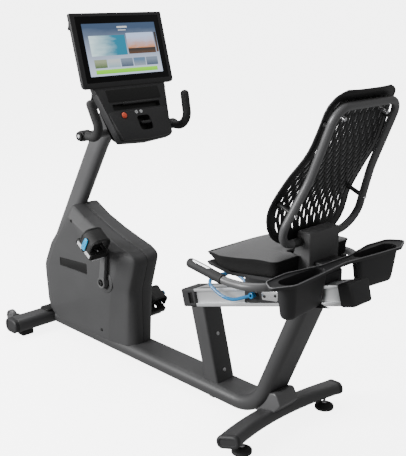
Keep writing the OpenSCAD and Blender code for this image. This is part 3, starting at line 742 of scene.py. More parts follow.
def housing_half(side):
    wall = 3
    outer = [(0.5, 1.4), (1.2, 0.4), (2.4, 0), (14, 0), (26, 0), (36, 0), (46, 0), (52, 0), (56, 0),
             (59, 0), (62, 0),
             (65, 0), (68, 0), (74, 0), (82, 0), (88, 0), (89.3, 0.5), (HALF_WIDTH, 1.6)]
    inner = [(HALF_WIDTH - wall, wall + 1), (82, wall), (70, wall), (62, wall), (54, wall), (40, wall),
             (20, wall), (0.5, wall)]
    bm = bmesh.new()
    loft(bm, [placed(FACING_X, inset(housing_outline(min(x, HALF_WIDTH)), d), side * x) for x,
              d in inner + outer])
    crease = Vector((0, 0.2886, 0.9574))
    bmesh.ops.bisect_plane(bm, geom=bm.verts[:] + bm.edges[:] + bm.faces[:],
                           plane_co=Vector((0, 1216, 122)), plane_no=crease)
    for v in bm.verts:
        below = -(v.co - Vector((0, 1216, 122))).dot(crease)
        taper = clamp((abs(v.co.x) - 62) / 28)
        if below > 0 and taper > 0:
            v.co.x -= side * taper * below * 0.055
    name = "left" if side < 0 else "right"
    shell = piece(f"housing_cover_{name}", bm, housing_skin, stands_for=[f"housing_{name}"], sharp=28)
    bm = bmesh.new()
    lathe(bm, shift(side * 70, 862, 330) @ turn(90 * side, "Y"), [(0, 0), (26, 0), (26, 40), (0, 40)])
    outline = rounded([(1172, 325, 6), (1172, 361, 6), (983, 375, 6), (983, 329, 6)])
    slab(bm, FACING_X @ shift(0, 0, side * 90.2), outline, -2.2, 3, 0.4, 1)
    for y, z in ((1078, 535), (905, 112)):
        lathe(bm, shift(side * 80, y, z) @ turn(90 * side, "Y"),
              [(0, 0), (6.5, 0), (6.5, 7), (7.5, 20), (0, 20)], 24)
    carve(shell, [cutter(bm)])


def housing_details():
    for side in SIDES:
        name = "left" if side < 0 else "right"
        bm = bmesh.new()
        face = shift(side * HALF_WIDTH, 862, 330) @ turn(90 * side, "Y")
        lathe(bm, face, [(26.5, -3), (26.5, 2), (28, 3.4), (31, 3.6), (37, 3.4), (42.5, 2.6), (44.6, 1.2),
                         (45, -1), (26.5, -3)], 64)
        piece(f"crank_hub_cover_{name}", bm, housing_skin)
    bm = bmesh.new()
    for side in SIDES:
        outline = rounded([(1170.5, 326.5, 5), (1170.5, 359.5, 5), (984.5, 373.5, 5), (984.5, 330.5, 5)])
        slab(bm, FACING_X, outline, side * 88.2 - 0.6, side * 88.2 + 0.8, 0.5, 2)
    piece("housing_badge_plates", bm, black_plastic, stands_for=["housing_badges"])
    bm = bmesh.new()
    for side in SIDES:
        for y, z in ((1078, 535), (905, 112)):
            head = shift(side * 86.5, y, z) @ turn(90 * side, "Y")
            lathe(bm, head, [(0, -6), (5.6, -6), (5.8, 0), (5.2, 1.4), (3.4, 2), (1.9, 2), (1.7, 0.2),
                             (0, 0.2)], 24)
    piece("housing_screw_heads", bm, black_coat, stands_for=["housing_screws"])
    bm = bmesh.new()
    brick(bm, shift(0, 1316, 84), (-95, -34, 0), (95, 30, 7), 2.5, 14)
    piece("front_base_plate", bm, black_plastic)


# ---- cranks, pedals and wheels ----


def mirrored(bm):
    """Adds the other side's copy of everything in the mesh."""
    copy = {v: bm.verts.new((-v.co.x, v.co.y, v.co.z)) for v in bm.verts[:]}
    for face in bm.faces[:]:
        bm.faces.new([copy[v] for v in reversed(face.verts)])


def crank_arm(side):
    name = "left" if side < 0 else "right"
    bm = bmesh.new()
    tip = -side * (CRANK_LENGTH + 14)
    outline = rounded([(-17, -tip * 0.02, 12), (-13, tip, 11), (13, tip, 11), (17, side * 22, 15),
                       (-17, side * 22, 15)], 8)
    low, high = sorted((side * 98, side * 112))
    slab(bm, ON_CRANK @ FACING_X, outline, low, high, 3, 4)
    outer = ON_CRANK @ turn(90 * side, "Y")
    lathe(bm, outer, [(0, 93), (22, 93), (23, 94), (23, 112), (21.5, 113.7), (18, 114), (16, 113),
                      (15.5, 110), (0, 110)])
    eye = ON_CRANK @ shift(0, 0, -side * CRANK_LENGTH) @ turn(90 * side, "Y")
    lathe(bm, eye, [(0, 97.2), (11, 97.2), (12, 98), (12, 112.6), (10.5, 113.4), (0, 113.4)], 36)
    piece(f"crank_arm_{name}_forging", bm, crank_grey, "crank", [f"crank_arm_{name}"])


def crank_fittings():
    bm = bmesh.new()
    for side in SIDES:
        outer = ON_CRANK @ turn(90 * side, "Y")
        lathe(bm, outer, [(0, 109), (11, 109), (11, 116.4), (10, 117.6), (8, 118), (6.2, 118), (5.6, 114),
                          (0, 114)], 6)
        lathe(bm, outer, [(0, 108), (14.6, 108), (14.6, 111), (13.6, 112), (10, 112), (0, 112)], 32)
    piece("crank_bolt_heads", bm, black_coat, "crank", ["crank_bolts"])
    bm = bmesh.new()
    for side in SIDES:
        axle = at_pedal(side) @ turn(90 * side, "Y")
        lathe(bm, axle, [(0, 112), (7, 112), (7, 116), (6, 117), (6, 195), (5, 196), (0, 196)], 24)
        lathe(bm, axle, [(0, 112.5), (9, 112.5), (9, 116.5), (0, 116.5)], 6)
    piece("pedal_spindles", bm, bright_steel, "crank", ["pedal_axles"])


def pedal(side):
    name = "left" if side < 0 else "right"
    body = f"pedal_{name}"
    place = at_pedal(side)
    inner, outer = sorted((side * 119, side * 205))
    middle = side * 162
    bm = bmesh.new()
    for y in (-52, 32):
        brick(bm, place, (inner, y, -11), (outer, y + 20, 9), 3, 4)
        for k in range(9):
            x = mix(inner + 8, outer - 8, k / 8)
            for row in (5, 15):
                lathe(bm, place @ shift(x, y + row, 8), [(0, 0), (2.6, 0), (2.2, 3.2), (1.4, 4), (0, 4)], 8)
    for x in (side * 128, side * 196):
        brick(bm, place, (x - 9, -52, -13), (x + 9, 52, 11), 4, 5)
    lathe(bm, place @ turn(90 * side, "Y"), [(0, 120), (12, 120), (13, 121), (13, 203), (11, 206),
                                             (0, 206)], 32)
    for x in (-20, 0, 20):
        brick(bm, place, (middle + x - 3, -36, -8), (middle + x + 3, 36, 4), 1.5)
    piece(f"{body}_body", bm, black_plastic, body, [body])
    bm = bmesh.new()
    profile = [(0.1 + 24 * sin(180 * k / 16), -17 * cos(180 * k / 16)) for k in range(17)]
    lathe(bm, place @ shift(middle, -2, -30) @ Matrix.Diagonal((1, 0.66, 1, 1)), profile, 32)
    brick(bm, place, (middle - 20, -13, -32), (middle + 20, 9, -8), 4, 6)
    piece(f"{body}_counterweight", bm, black_plastic, body)
    bm = bmesh.new()
    brick(bm, place, (middle - 30, -50, -22), (middle + 32, -20, -10), 4, 8)
    brick(bm, place, (outer - 4 if side > 0 else inner - 0.5, -44, -9),
          (outer + 0.5 if side > 0 else inner + 4, 44, 7), 1.6, 3)
    piece(f"{body}_pale_insert", bm, pale_plastic, body)
    bm = bmesh.new()
    section = box_outline(-2, -36, 2, 36, 1.9, 4)
    sweep(bm, place @ shift(middle - 42, 0, 12.5), [[30], [26, 90, 0], [32], [26, 90, 0], [30]], section,
          step=8)
    for y in (-30, 30):
        rib = box_outline(-1.2, -1.6, 1.2, 1.6, 0.8, 3)
        sweep(bm, place @ shift(middle - 44.4, y, 14), [[28.5], [28.4, 90, 0], [32], [28.4, 90, 0],
                                                        [28.5]], rib, step=8)
    piece(f"{body}_strap_band", bm, strap_web, body, [f"{body}_strap"])
    bm = bmesh.new()
    low, high = sorted((side * 206.4, side * 212.6))
    slab(bm, place @ FACING_X, rounded([(-12, 3, 5), (12, 3, 5), (10, 57, 7), (-10, 57, 7)], 6), low, high,
         2.2, 4)
    buckle = piece(f"{body}_buckle_clip", bm, buckle_cyan, body, [f"{body}_buckle"])
    bm = bmesh.new()
    low, high = sorted((side * 211.2, side * 215))
    for z in (20, 27, 34):
        slab(bm, place @ FACING_X, box_outline(-7, z, 7, z + 3, 1.4, 3), low, high, 0.4, 1)
    carve(buckle, [cutter(bm)])


def wheels():
    for side in SIDES:
        name = "left" if side < 0 else "right"
        hub = shift(side * 205, 1392, 62) @ ALONG_X
        bm = bmesh.new()
        rim = [(0, -11), (9, -11), (10, -10), (11, -6), (22, -6), (23.5, -9.5), (26, -11), (29, -10.6),
               (30.6, -8),
               (31, -4), (31, 4), (30.6, 8), (29, 10.6), (26, 11), (23.5, 9.5), (22, 6), (11, 6), (10, 10),
               (9, 11), (0, 11)]
        lathe(bm, hub, rim, 64)
        lathe(bm, hub, [(0, -17), (4, -17), (4, 17), (0, 17)], 24)
        piece(f"transport_wheel_{name}_tyre", bm, wheel_plastic, f"wheel_{name}",
              [f"transport_wheel_{name}"])


# ---- console ----

GLASS = box_outline(-194, 10, 194, 250, 4, 6)
SCREEN_SHELL = rounded([(-213, -8, 16), (213, -8, 16), (213, 262, 5), (-213, 262, 5)], 6)
SCREEN = ON_SCREEN @ FACING_BACK
POD = ON_POD @ FACING_BACK


def screen():
    bm = bmesh.new()
    rings = [placed(SCREEN, inset(GLASS, 6), 4), placed(SCREEN, inset(GLASS, -0.4), 4),
             placed(SCREEN, inset(GLASS, -0.4), 0.8), placed(SCREEN, inset(GLASS, -1), 0.1)]
    rings += [placed(SCREEN, inset(SCREEN_SHELL, d), depth) for depth, d in
              ((0, 3.4), (0.5, 1.6), (1.8, 0.4), (3.6, 0), (13, 0), (15, 0.8), (17, 2.6), (22, 24),
               (27, 36), (31, 42), (34.5, 46), (36, 52))]
    loft(bm, rings)
    piece("screen_housing_shell", bm, grey_plastic, stands_for=["screen_back", "screen_bezel"])
    bm = bmesh.new()
    slab(bm, SCREEN, GLASS, 0.6, 3.8, 0.5, 2)
    piece("screen_cover_glass", bm, glass, stands_for=["screen_display"])
    bm = bmesh.new()
    for k in range(7):
        brick(bm, SCREEN, (-60 + 20 * k - 7, 90, 35.2), (-60 + 20 * k + 7, 94, 36.6), 0.5, 1.9)
        brick(bm, SCREEN, (-60 + 20 * k - 7, 104, 35.2), (-60 + 20 * k + 7, 108, 36.6), 0.5, 1.9)
    piece("screen_vent_bars", bm, black_plastic)


def tile(name, box, material):
    """One lit area of the display: box is its left, low, right and high edge in shares of the display."""
    left, low, right, high = box
    bm = bmesh.new()
    brick(bm, SCREEN, (mix(-169, 169, left), mix(34, 222, low), 0),
          (mix(-169, 169, right), mix(34, 222, high), 0.35), 0.1, 1.5, 1)
    for v in bm.verts:
        v.co = v.co + (ON_SCREEN.to_3x3() @ Vector((0, 0.28, 0)))
    piece(name, bm, material)


def screen_picture():
    backdrop = lit_picture("picture_backdrop", (0.66, 0.76, 0.95), (0.05, 0.09, 0.17), 0.0, 1.1)
    bm = bmesh.new()
    brick(bm, SCREEN, (-169.6, 33.4, 0.5), (169.6, 222.6, 0.8), 0.1, 1, 1)
    piece("picture_backdrop", bm, backdrop)
    lake = lit_picture("picture_lake", (0.75, 0.97, 1.0), (0.01, 0.2, 0.32), 1.0, 1.3, axis=0)
    sunset = lit_picture("picture_sunset", (0.7, 0.24, 0.04), (0.55, 0.68, 0.95), 2.0, 1.2)
    earth = lit_picture("picture_earth", (0.30, 0.14, 0.06), (0.10, 0.08, 0.07), 5.0, 0.5)
    leaf = lit_picture("picture_leaf", (0.10, 0.22, 0.05), (0.55, 0.65, 0.40), 6.0, 0.7)
    pale = lit_picture("picture_pale", (0.45, 0.72, 0.85), (0.85, 0.93, 0.95), 4.0, 0.8)
    slate = lit_picture("picture_slate", (0.10, 0.15, 0.24), (0.35, 0.45, 0.6), 6.0, 0.7)
    snow = lit_picture("picture_snow", (0.55, 0.62, 0.72), (0.20, 0.35, 0.55), 5.0, 0.75)
    white = lit_picture("picture_white", (0.85, 0.87, 0.9), (0.95, 0.96, 0.98), 0.0, 0.9)
    start = lit_picture("picture_green", (0.22, 0.72, 0.01), (0.3, 0.85, 0.03), 0.0, 1.3)
    tile("picture_tile_lake", (0.06, 0.38, 0.545, 0.77), lake)
    tile("picture_tile_sky", (0.565, 0.50, 0.955, 0.80), sunset)
    tile("picture_tile_ground", (0.565, 0.39, 0.955, 0.50), earth)
    tile("picture_next_tile", (0.967, 0.40, 0.995, 0.80), earth)
    for i, look in enumerate((leaf, pale, slate, snow, slate)):
        tile(f"picture_thumb_{i}", (0.075 + 0.178 * i, 0.15, 0.24 + 0.178 * i, 0.31), look)
    tile("picture_start_bar", (0.075, 0.035, 0.93, 0.115), start)
    tile("picture_heading_bar", (0.46, 0.905, 0.60, 0.94), white)
    tile("picture_subheading_bar", (0.47, 0.855, 0.58, 0.872), white)


POD_FACE = rounded([(-122, 4, 12), (0, -4, 60), (122, 4, 12), (166, 205, 6), (-166, 205, 6)], 6)
DECK = rounded([(-117, 7, 11), (0, 0, 60), (117, 7, 11), (141, 117, 4), (-141, 117, 4)], 6)


def deck_depth(z):
    """How far the raised lower face stands in front of the pod's face."""
    return -13 * (1 - z / 118) - 1.2


def pod():
    bm = bmesh.new()
    loft(bm, [placed(POD, inset(POD_FACE, d), depth) for depth, d in
              ((0, 3), (0.8, 1), (2.6, 0), (29, 0), (31.5, 0.8), (34, 3), (60, 24), (64, 27.5), (66, 32))])
    shell = piece("console_pod_shell", bm, grey_plastic, stands_for=["console_pod"])
    slot = bmesh.new()
    brick(slot, POD, (-111, 122, -4), (111, 145, 17), 1.5, 5)
    pocket = bmesh.new()
    brick(pocket, POD, (-21, 35, -30), (39, 93, 36), 2, 12)
    carve(shell, [cutter(slot), cutter(pocket)])

    bm = bmesh.new()
    rings = []
    for step, d in ((0, 2.6), (0.6, 1.0), (2.2, 0.2), (4, 0)):
        rings.append([POD @ Vector((p.x, p.y, deck_depth(p.y) + step)) for p in inset(DECK, d)])
    rings.append(placed(POD, DECK, 4.5))
    loft(bm, rings)
    deck = piece("console_pod_deck", bm, grey_plastic)
    pocket = bmesh.new()
    brick(pocket, POD, (-21, 35, -30), (39, 93, 36), 2, 12)
    button = bmesh.new()
    lathe(button, POD @ shift(-74, 100, 0), [(0, -30), (14.2, -30), (14.2, 8), (0, 8)], 48)
    carve(deck, [cutter(pocket), cutter(button)])
    bm = bmesh.new()
    for s in SIDES:
        rings = []
        for x_out, lift in ((0.4, 0), (1.6, 0.6), (1.6, 99)):
            rings.append([POD @ Vector((s * (mix(118, 142, t / 8) + x_out), mix(9, 115, t / 8),
                                        max(deck_depth(mix(9, 115, t / 8)) + 1.5 + lift,
                                            0) if lift < 9 else 3))
                          for t in range(9)])
        outer = rings[1]
        inner = [POD @ Vector((s * (mix(118, 142, t / 8) - 2), mix(9, 115, t / 8), 3)) for t in range(9)]
        front = [POD @ Vector((s * (mix(118, 142, t / 8) - 2), mix(9, 115, t / 8),
                               deck_depth(mix(9, 115, t / 8)) + 2)) for t in range(9)]
        back = [POD @ Vector((s * (mix(118, 142, t / 8) + 1.4), mix(9, 115, t / 8), 3)) for t in range(9)]
        loft(bm, [[front[t], outer[t], back[t], inner[t]] for t in range(9)])
    piece("console_pod_cheeks", bm, black_plastic)
    bm = bmesh.new()
    brick(bm, POD, (-17, 40, 20), (35, 88, 22), 0.5, 8)
    brick(bm, POD, (-112, 121, 13), (112, 146, 15.5), 0.6, 4)
    liner = [(-20.6, 35.4, -4), (38.6, 92.6, 30)]
    brick(bm, POD, (liner[0][0], liner[0][1], 28), (liner[1][0], liner[1][1], 31), 0.6, 11)
    piece("pod_recess_liner", bm, black_plastic, stands_for=["pod_panel"])
    bm = bmesh.new()
    brick(bm, POD, (-4, 60, -7), (38, 71, 20), 3, 4)
    brick(bm, POD, (-62, 141, -6), (104, 149, 8), 2.6, 3)
    piece("pod_ledge_lips", bm, grey_plastic)
    bm = bmesh.new()
    brick(bm, POD, (-122, 154, -0.9), (126, 201, 1), 0.7, 6)
    piece("pod_upper_plate", bm, black_plastic)
    bm = bmesh.new()
    outline = rounded([(-164, 190, 2), (164, 190, 2), (168, 223, 2), (-168, 223, 2)], 3)
    slab(bm, POD, outline, 0.3, 26, 1.2, 3)
    piece("console_neck_cover", bm, grey_plastic)
    bm = bmesh.new()
    for x in (-14, 8):
        front = deck_depth(108)
        profile = [(2, front + 3), (2, front - 1.2), (3.4, front - 1.6), (6, front - 1.4),
                   (6.5, front - 0.4), (6.5, 2), (2, 2)]
        lathe(bm, POD @ shift(x, 108, 0), profile + [profile[0]], 32)
    piece("audio_jack_rings", bm, pale_plastic, stands_for=["audio_jacks"])
    bm = bmesh.new()
    for x in (-14, 8):
        lathe(bm, POD @ shift(x, 108, 0), [(0, deck_depth(108) + 1.5), (2.2, deck_depth(108) + 1.5),
                                           (2.2, 3), (0, 3)], 16)
    piece("audio_jack_sockets", bm, black_plastic)
    bm = bmesh.new()
    cap = [(0, -8.6), (4, -8.4), (8, -7.4), (10.4, -5.6), (11.4, -3.4), (11.4, 6), (13, 6), (13, 9), (0, 9)]
    lathe(bm, POD @ shift(-74, 100, 0), cap, 48)
    piece("stop_button_cap", bm, button_red, "stop_button", ["stop_button"])
    bm = bmesh.new()
    collar = [(11.9, 5), (11.9, -3.6), (13, -4.4), (14.6, -4), (15.6, -2), (15.6, 2), (14, 5), (11.9, 5)]
    lathe(bm, POD @ shift(-74, 100, 0), collar, 48)
    piece("stop_button_collar", bm, black_plastic)


def console_bracket():
    bm = bmesh.new()
    outline = rounded([(785, 940, 8), (833, 1040, 20), (831, 1118, 20), (847, 1180, 6), (870, 1182, 6),
                       (884, 1060, 20), (962, 966, 10), (930, 900, 12), (850, 900, 30)], 4)
    slab(bm, FACING_X, outline, -28, 28, 5, 4)
    piece("console_bracket_casting", bm, charcoal, stands_for=["console_bracket"])
    bm = bmesh.new()
    slab(bm, shift(0, 800, 932) @ ALONG_X, ring(15, 48), -228, 228, 1, 2)
    piece("console_handlebar_tube", bm, metallic_grey, stands_for=["handlebar"])
    bm = bmesh.new()
    lathe(bm, shift(0, 800, 932) @ ALONG_X, [(0, 226), (17, 226), (17, 231), (16, 233.4), (12, 234),
                                             (7, 234), (6, 232.6), (0, 232.6)])
    mirrored(bm)
    piece("handlebar_end_plugs", bm, black_plastic, stands_for=["handlebar_plugs"])
    bm = bmesh.new()
    lathe(bm, shift(0, 800, 932) @ ALONG_X, [(0, 232), (6.5, 232), (6.5, 233.6), (5.6, 234.4), (0, 234.6)],
          32)
    mirrored(bm)
    piece("handlebar_plug_centres", bm, pale_plastic)
    bm = bmesh.new()
    start = shift(206, 790, 932) @ turn(90, "X") @ turn(90, "Z")
    sweep(bm, start, [[35], [44, 108, -8], [68]], ring(16.5, 32), 14.0, 7, 6)
    lathe(bm, shift(0, 800, 932) @ ALONG_X, [(15.2, 186), (18, 186.4), (19.6, 188), (20, 191), (20, 222),
                                             (19.4, 224.6),
                                             (17.5, 226), (15.2, 226), (15.2, 186)])
    mirrored(bm)
    piece("handlebar_grip_sleeves", bm, grip_foam, stands_for=["handlebar_grips"])
    bm = bmesh.new()
    base = stations(start, [[35], [44, 108, -8], [0]])[-1]
    for k in range(11):
        lathe(bm, base @ shift(0, 0, 6 + 5.5 * k), [(16.3, -0.9), (17, -0.7), (17.2, 0), (17, 0.7),
                                                    (16.3, 0.9), (16.3, -0.9)], 32)
    mirrored(bm)
    piece("handlebar_grip_ribs", bm, grip_foam)


# ---- seat ----

PLAN = [(-186, -98, 26), (-198, 130, 80), (-128, 258, 70), (128, 258, 70), (198, 130, 80), (186, -98, 26)]
SEAT_CENTRE = Vector((0, 70))


def crease_height(y):
    """Height of the seam between the cushion's top and its side."""
    return curve([(-98, 657), (-30, 653), (49, 641), (157, 627), (215, 614), (258, 600)], y)


def even(outline, count):
    """The closed outline again as count evenly spaced points."""
    lengths = [(outline[(i + 1) % len(outline)] - p).length for i, p in enumerate(outline)]
    points, i, done = [], 0, 0.0
    for k in range(count):
        goal = sum(lengths) * k / count
        while done + lengths[i] < goal:
            done += lengths[i]
            i += 1
        points.append(outline[i].lerp(outline[(i + 1) % len(outline)],
                                      (goal - done) / max(lengths[i], 1e-9)))
    return points


def inflate(thing, free):
    """Swells a closed mesh like a stuffed cover; free(point) is how far a point may move, in metres."""
    rest = [v.co.copy() for v in thing.data.vertices]
    cover = thing.modifiers.new("cover", "CLOTH")
    cover.settings.use_pressure = True
    cover.settings.uniform_pressure_force = 4
    cover.settings.effector_weights.gravity = 0
    cover.point_cache.frame_start = 1
    cover.point_cache.frame_end = 20
    for step in range(1, 21):
        scene.frame_set(step)
    graph = bpy.context.evaluated_depsgraph_get()
    swollen = bpy.data.meshes.new_from_object(thing.evaluated_get(graph))
    thing.modifiers.remove(cover)
    for v, a, b in zip(thing.data.vertices, rest, swollen.vertices):
        move = b.co - a
        limit = free(a)
        v.co = a + (move.normalized() * limit if move.length > limit else move)
    bpy.data.meshes.remove(swollen)
    scene.frame_set(1)


def seat_cushion():
    plan = even(rounded(PLAN, 10), 144)

    def underside(y):
        return curve([(-98, 609), (90, 589), (215, 600), (258, 590)], y)

    def at(p, t):
        return Vector((p.x, p.y, mix(underside(p.y), crease_height(p.y), t)))

    bm = bmesh.new()
    rings = [[at(p, 0) for p in inset(plan, d)] for d in (24, 12)]
    rings += [[at(p, t) for p in inset(plan, d)] for t, d in
              ((0.03, 7), (0.12, 3.5), (0.3, 2.6), (0.5, 3.2), (0.7, 3.0), (0.86, 1.6), (0.95, 0.6),
               (1, 0.6))]
    for s in (0.02, 0.05, 0.1, 0.18, 0.28, 0.4, 0.55, 0.7, 0.85, 0.96):
        points = []
        for p in plan:
            q = p.lerp(SEAT_CENTRE, s)
            crown = curve([(-98, 666), (0, 661), (80, 653), (150, 643), (217, 628), (258, 606)], q.y)
            edge = crease_height(p.y)
            points.append(Vector((q.x, q.y, mix(edge, max(crown, edge + 2), 1 - (1 - s) ** 3.2))))
        rings.append(points)
    loft(bm, rings)
    cushion = piece("seat_cushion_cover", bm, vinyl, "carriage", ["seat_cushion"], sharp=180)
    notch = bmesh.new()
    brick(notch, Matrix.Identity(4), (-74.5, -220, 500), (74.5, -43, 800), 1, 8)
    carve(cushion, [cutter(notch)])
    mesh = cushion.modifiers.new("even_mesh", "REMESH")
    mesh.mode = "VOXEL"
    mesh.voxel_size = 0.005
    graph = bpy.context.evaluated_depsgraph_get()
    cushion.data = bpy.data.meshes.new_from_object(cushion.evaluated_get(graph))
    cushion.modifiers.clear()

    def height_over_seam(co):
        return co.z / MM - crease_height((co.y - REAR_FEET) / MM)

    def free(co):
        y = (co.y - REAR_FEET) / MM
        near_notch = clamp((max(abs(co.x) / MM - 75, y + 43) - 3) / 25)
        return 0.009 * clamp(abs(height_over_seam(co)) / 26) * near_notch * (0.35 if height_over_seam(co) < 0 else 1)

    inflate(cushion, free)
    cushion.data.materials.clear()
    for material in (vinyl, side_cloth):
        cushion.data.materials.append(material)
    for face in cushion.data.polygons:
        face.material_index = 1 if height_over_seam(face.center) < -0.5 else 0
    cushion.data.shade_smooth()
    surface = cushion.modifiers.new("surface", "SUBSURF")
    surface.levels = surface.render_levels = 1
    bm = bmesh.new()
    rim = [Vector((p.x, p.y, crease_height(p.y))) for p in inset(plan, 1.2)]
    middle = min(range(len(rim)), key=lambda i: abs(rim[i].x) + (1000 if rim[i].y > 0 else 0))
    ordered = [rim[(middle + i) % len(rim)] for i in range(len(rim))]
    seam = [p for p in ordered if abs(p.x) > 76 or p.y > 0]
    thread(bm, seam, 1.9, 10)
    thread(bm, [p + Vector((p.x, p.y - 70, 0)).normalized() * -3.4 + Vector((0, 0, -0.3)) for p in seam],
           0.9, 8)
    piece("seat_cushion_piping", bm, side_cloth, "carriage")


def seat_carriage():
    bm = bmesh.new()
    outline = rounded([(146, 431, 6), (146, 578, 5), (90, 571.5, 8), (-93, 595.5, 3), (-93, 606, 2),
                       (-160, 606, 5),
                       (-166, 600, 5), (-166, 519.6, 6)], 4)
    slab(bm, FACING_X, outline, -56, 56, 4, 4)
    block = piece("carriage_casting", bm, dark_plastic, "carriage", ["carriage"])
    bm = bmesh.new()
    brick(bm, ON_RAIL, (-43.6, -900, -60), (43.6, 20, 65.6), 0.5, 1)
    carve(block, [cutter(bm)])
    bm = bmesh.new()
    for s in SIDES:
        outline = rounded([(64, 466, 5), (68, 492, 5), (-2, 512, 5), (-2, 477, 5)], 4)
        low, high = sorted((s * 55.5, s * 59))
        slab(bm, FACING_X, outline, low, high, 1, 2)
    piece("carriage_slide_plates", bm, sensor_metal, "carriage")
    bm = bmesh.new()
    for s in SIDES:
        for y, z in ((54, 480), (8, 494)):
            head = shift(s * 59, y, z) @ turn(90 * s, "Y")
            lathe(bm, head, [(0, -1), (5, -1), (5, 1), (4.2, 2.4), (2.4, 2.8), (2, 1), (0, 1)], 20)
        lathe(bm, shift(s * 56, 96, 476) @ turn(90 * s, "Y"),
              [(0, 0), (12, 0), (12, 1.4), (6, 4), (5, 6), (5, 23), (4.2, 24), (0, 24)], 32)
    piece("carriage_screw_heads", bm, black_coat, "carriage")
    bm = bmesh.new()
    outline = rounded([(-136, 606, 7), (-47, 606, 7), (-83, 694, 40), (-83, 735, 9), (-136, 735, 9)], 6)
    slab(bm, FACING_X, outline, -72, 72, 6, 6)
    bracket = piece("back_bracket_casting", bm, bracket_grey, "carriage", ["back_bracket"])
    bm = bmesh.new()
    slab(bm, shift(0, -98, 703) @ ALONG_X, ring(9.6, 32), -90, 90, 0.3, 1)
    carve(bracket, [cutter(bm)])


HANDLE = shift(56, -112, 592) @ turn(-3, "X") @ ALONG_X
HANDLE_RUN = [[104], [95, 90, 90], [30], [200, 11, 180]]


def side_handles():
    bm = bmesh.new()
    sweep(bm, HANDLE, HANDLE_RUN + [[145]], ring(13, 32), step=5)
    mirrored(bm)
    piece("side_handle_tubes", bm, metallic_grey, "carriage", ["side_handles"])
    end = stations(HANDLE, HANDLE_RUN)[-1]
    bm = bmesh.new()
    sleeve = [(13.3, 1), (15, -0.5), (16, 0.6), (16.2, 3), (15.4, 5.4), (15.4, 7), (16, 8.6), (16, 142),
              (15.4, 146),
              (13.8, 149.4), (11, 151.4), (7, 152.4), (0, 152.6)]
    lathe(bm, end, sleeve, 48)
    mirrored(bm)
    piece("side_grip_sleeves", bm, grip_foam, "carriage", ["side_grips"])
    bm = bmesh.new()
    rings = []
    for k in range(13):
        t = k / 12
        z = mix(56, 134, t)
        round_end = math.sqrt(max(0.02, 1 - (max(abs(t - 0.5) - 0.42, 0) / 0.08) ** 2))
        arc = [180 + 30 * round_end * a for a in (-1, -0.66, -0.33, 0, 0.33, 0.66, 1)]
        outer = [end @ Vector((16.9 * cos(a), 16.9 * sin(a), z)) for a in arc]
        inner = [end @ Vector((15.2 * cos(a), 15.2 * sin(a), z)) for a in reversed(arc)]
        rings.append(outer + inner)
    loft(bm, rings)
    mirrored(bm)
    piece("pulse_sensor_plates", bm, sensor_metal, "carriage", ["pulse_sensors"], bevel=0.4)


def tray():
    outline = rounded([(-334, -208, 12), (-300, -158, 40), (-200, -150, 60), (-70, -176, 40),
                       (70, -176, 40),
                       (200, -150, 60), (300, -158, 40), (334, -208, 12), (262, -242, 40), (150, -232, 60),
                       (0, -214, 80), (-150, -232, 60), (-262, -242, 40)], 8)

    def pocket(s, z, g):
        top = inset(rounded([(-300, -206, 25), (-262, -170, 30), (-80, -170, 30), (-70, -212, 20),
                             (-250, -232, 30)], 8), g)
        low = inset(rounded([(-276, -202, 20), (-250, -176, 20), (-100, -176, 20), (-96, -206, 15),
                             (-240, -222, 20)], 8), g)
        t = clamp((z - 528) / 108)
        return [Vector((-s * mix(b.x, a.x, t), mix(b.y, a.y, t), z)) for a, b in zip(top, low)]

    bm = bmesh.new()
    slab(bm, Matrix.Identity(4), outline, 636, 645.4, 1.2, 2)
    plate = piece("storage_tray_plate", bm, tray_plastic, "carriage", ["storage_tray"])
    hollow = bmesh.new()
    for s in SIDES:
        loft(hollow, [pocket(s, z, 2.6) for z in (560, 600, 660)])
    dish = bmesh.new()
    slab(dish, Matrix.Identity(4), inset(outline, 4.5), 642, 660, 1.2, 2)
    carve(plate, [cutter(hollow), cutter(dish)], "MANIFOLD")
    bm = bmesh.new()
    for s in SIDES:
        outer = [pocket(s, z, g) for z, g in ((528, 20), (528.4, 14), (530.5, 7), (535, 2.4), (542, 0.4),
                                              (560, 0),
                                              (590, 0), (620, 0), (641, 0))]
        inner = [pocket(s, z, g) for z, g in ((641, 2.8), (620, 2.8), (590, 2.8), (560, 2.8), (545, 3.2),
                                              (537, 5.4),
                                              (533, 10), (531.2, 17), (531, 24))]
        loft(bm, outer + inner)
    piece("storage_tray_pockets", bm, tray_plastic, "carriage")
    bm = bmesh.new()
    # rim bead along the tray's edge, in the pale painted-highlight plastic
    rim = [Vector((p.x, p.y, 645)) for p in even(inset(outline, 2.2), 220)]
    thread(bm, rim, 2.0, 10, True)
    piece("storage_tray_rim", bm, tray_rim_highlight_plastic, "carriage")
    bm = bmesh.new()
    brick(bm, Matrix.Identity(4), (-50, -184, 630), (50, -134, 641.6), 2, 6)
    piece("storage_tray_tongue", bm, tray_plastic, "carriage")


def seat_lever():
    bm = bmesh.new()
    start = shift(72, 96, 476) @ turn(-115, "X")
    run = [[70], [120, 50, -90], [20], [40, 90, 180], [64], [40, 90, 180], [20], [120, 50, -90], [70]]
    sweep(bm, start, run, ring(6, 24), step=6)
    for s in SIDES:
        lathe(bm, shift(s * 72, 96, 476) @ ALONG_X, disc(11, -8, 8, 2, 5.2), 40)
    piece("seat_lever_bail", bm, lever_blue, "seat_lever", ["seat_lever"])
    bm = bmesh.new()
    grip = stations(start, run[:4])[-1]
    lathe(bm, grip, [(6, -2), (8, 0), (8.4, 3), (8.4, 61), (8, 64), (6, 66)], 32)
    piece("seat_lever_sleeve", bm, lever_blue, "seat_lever")


# ---- backrest ----


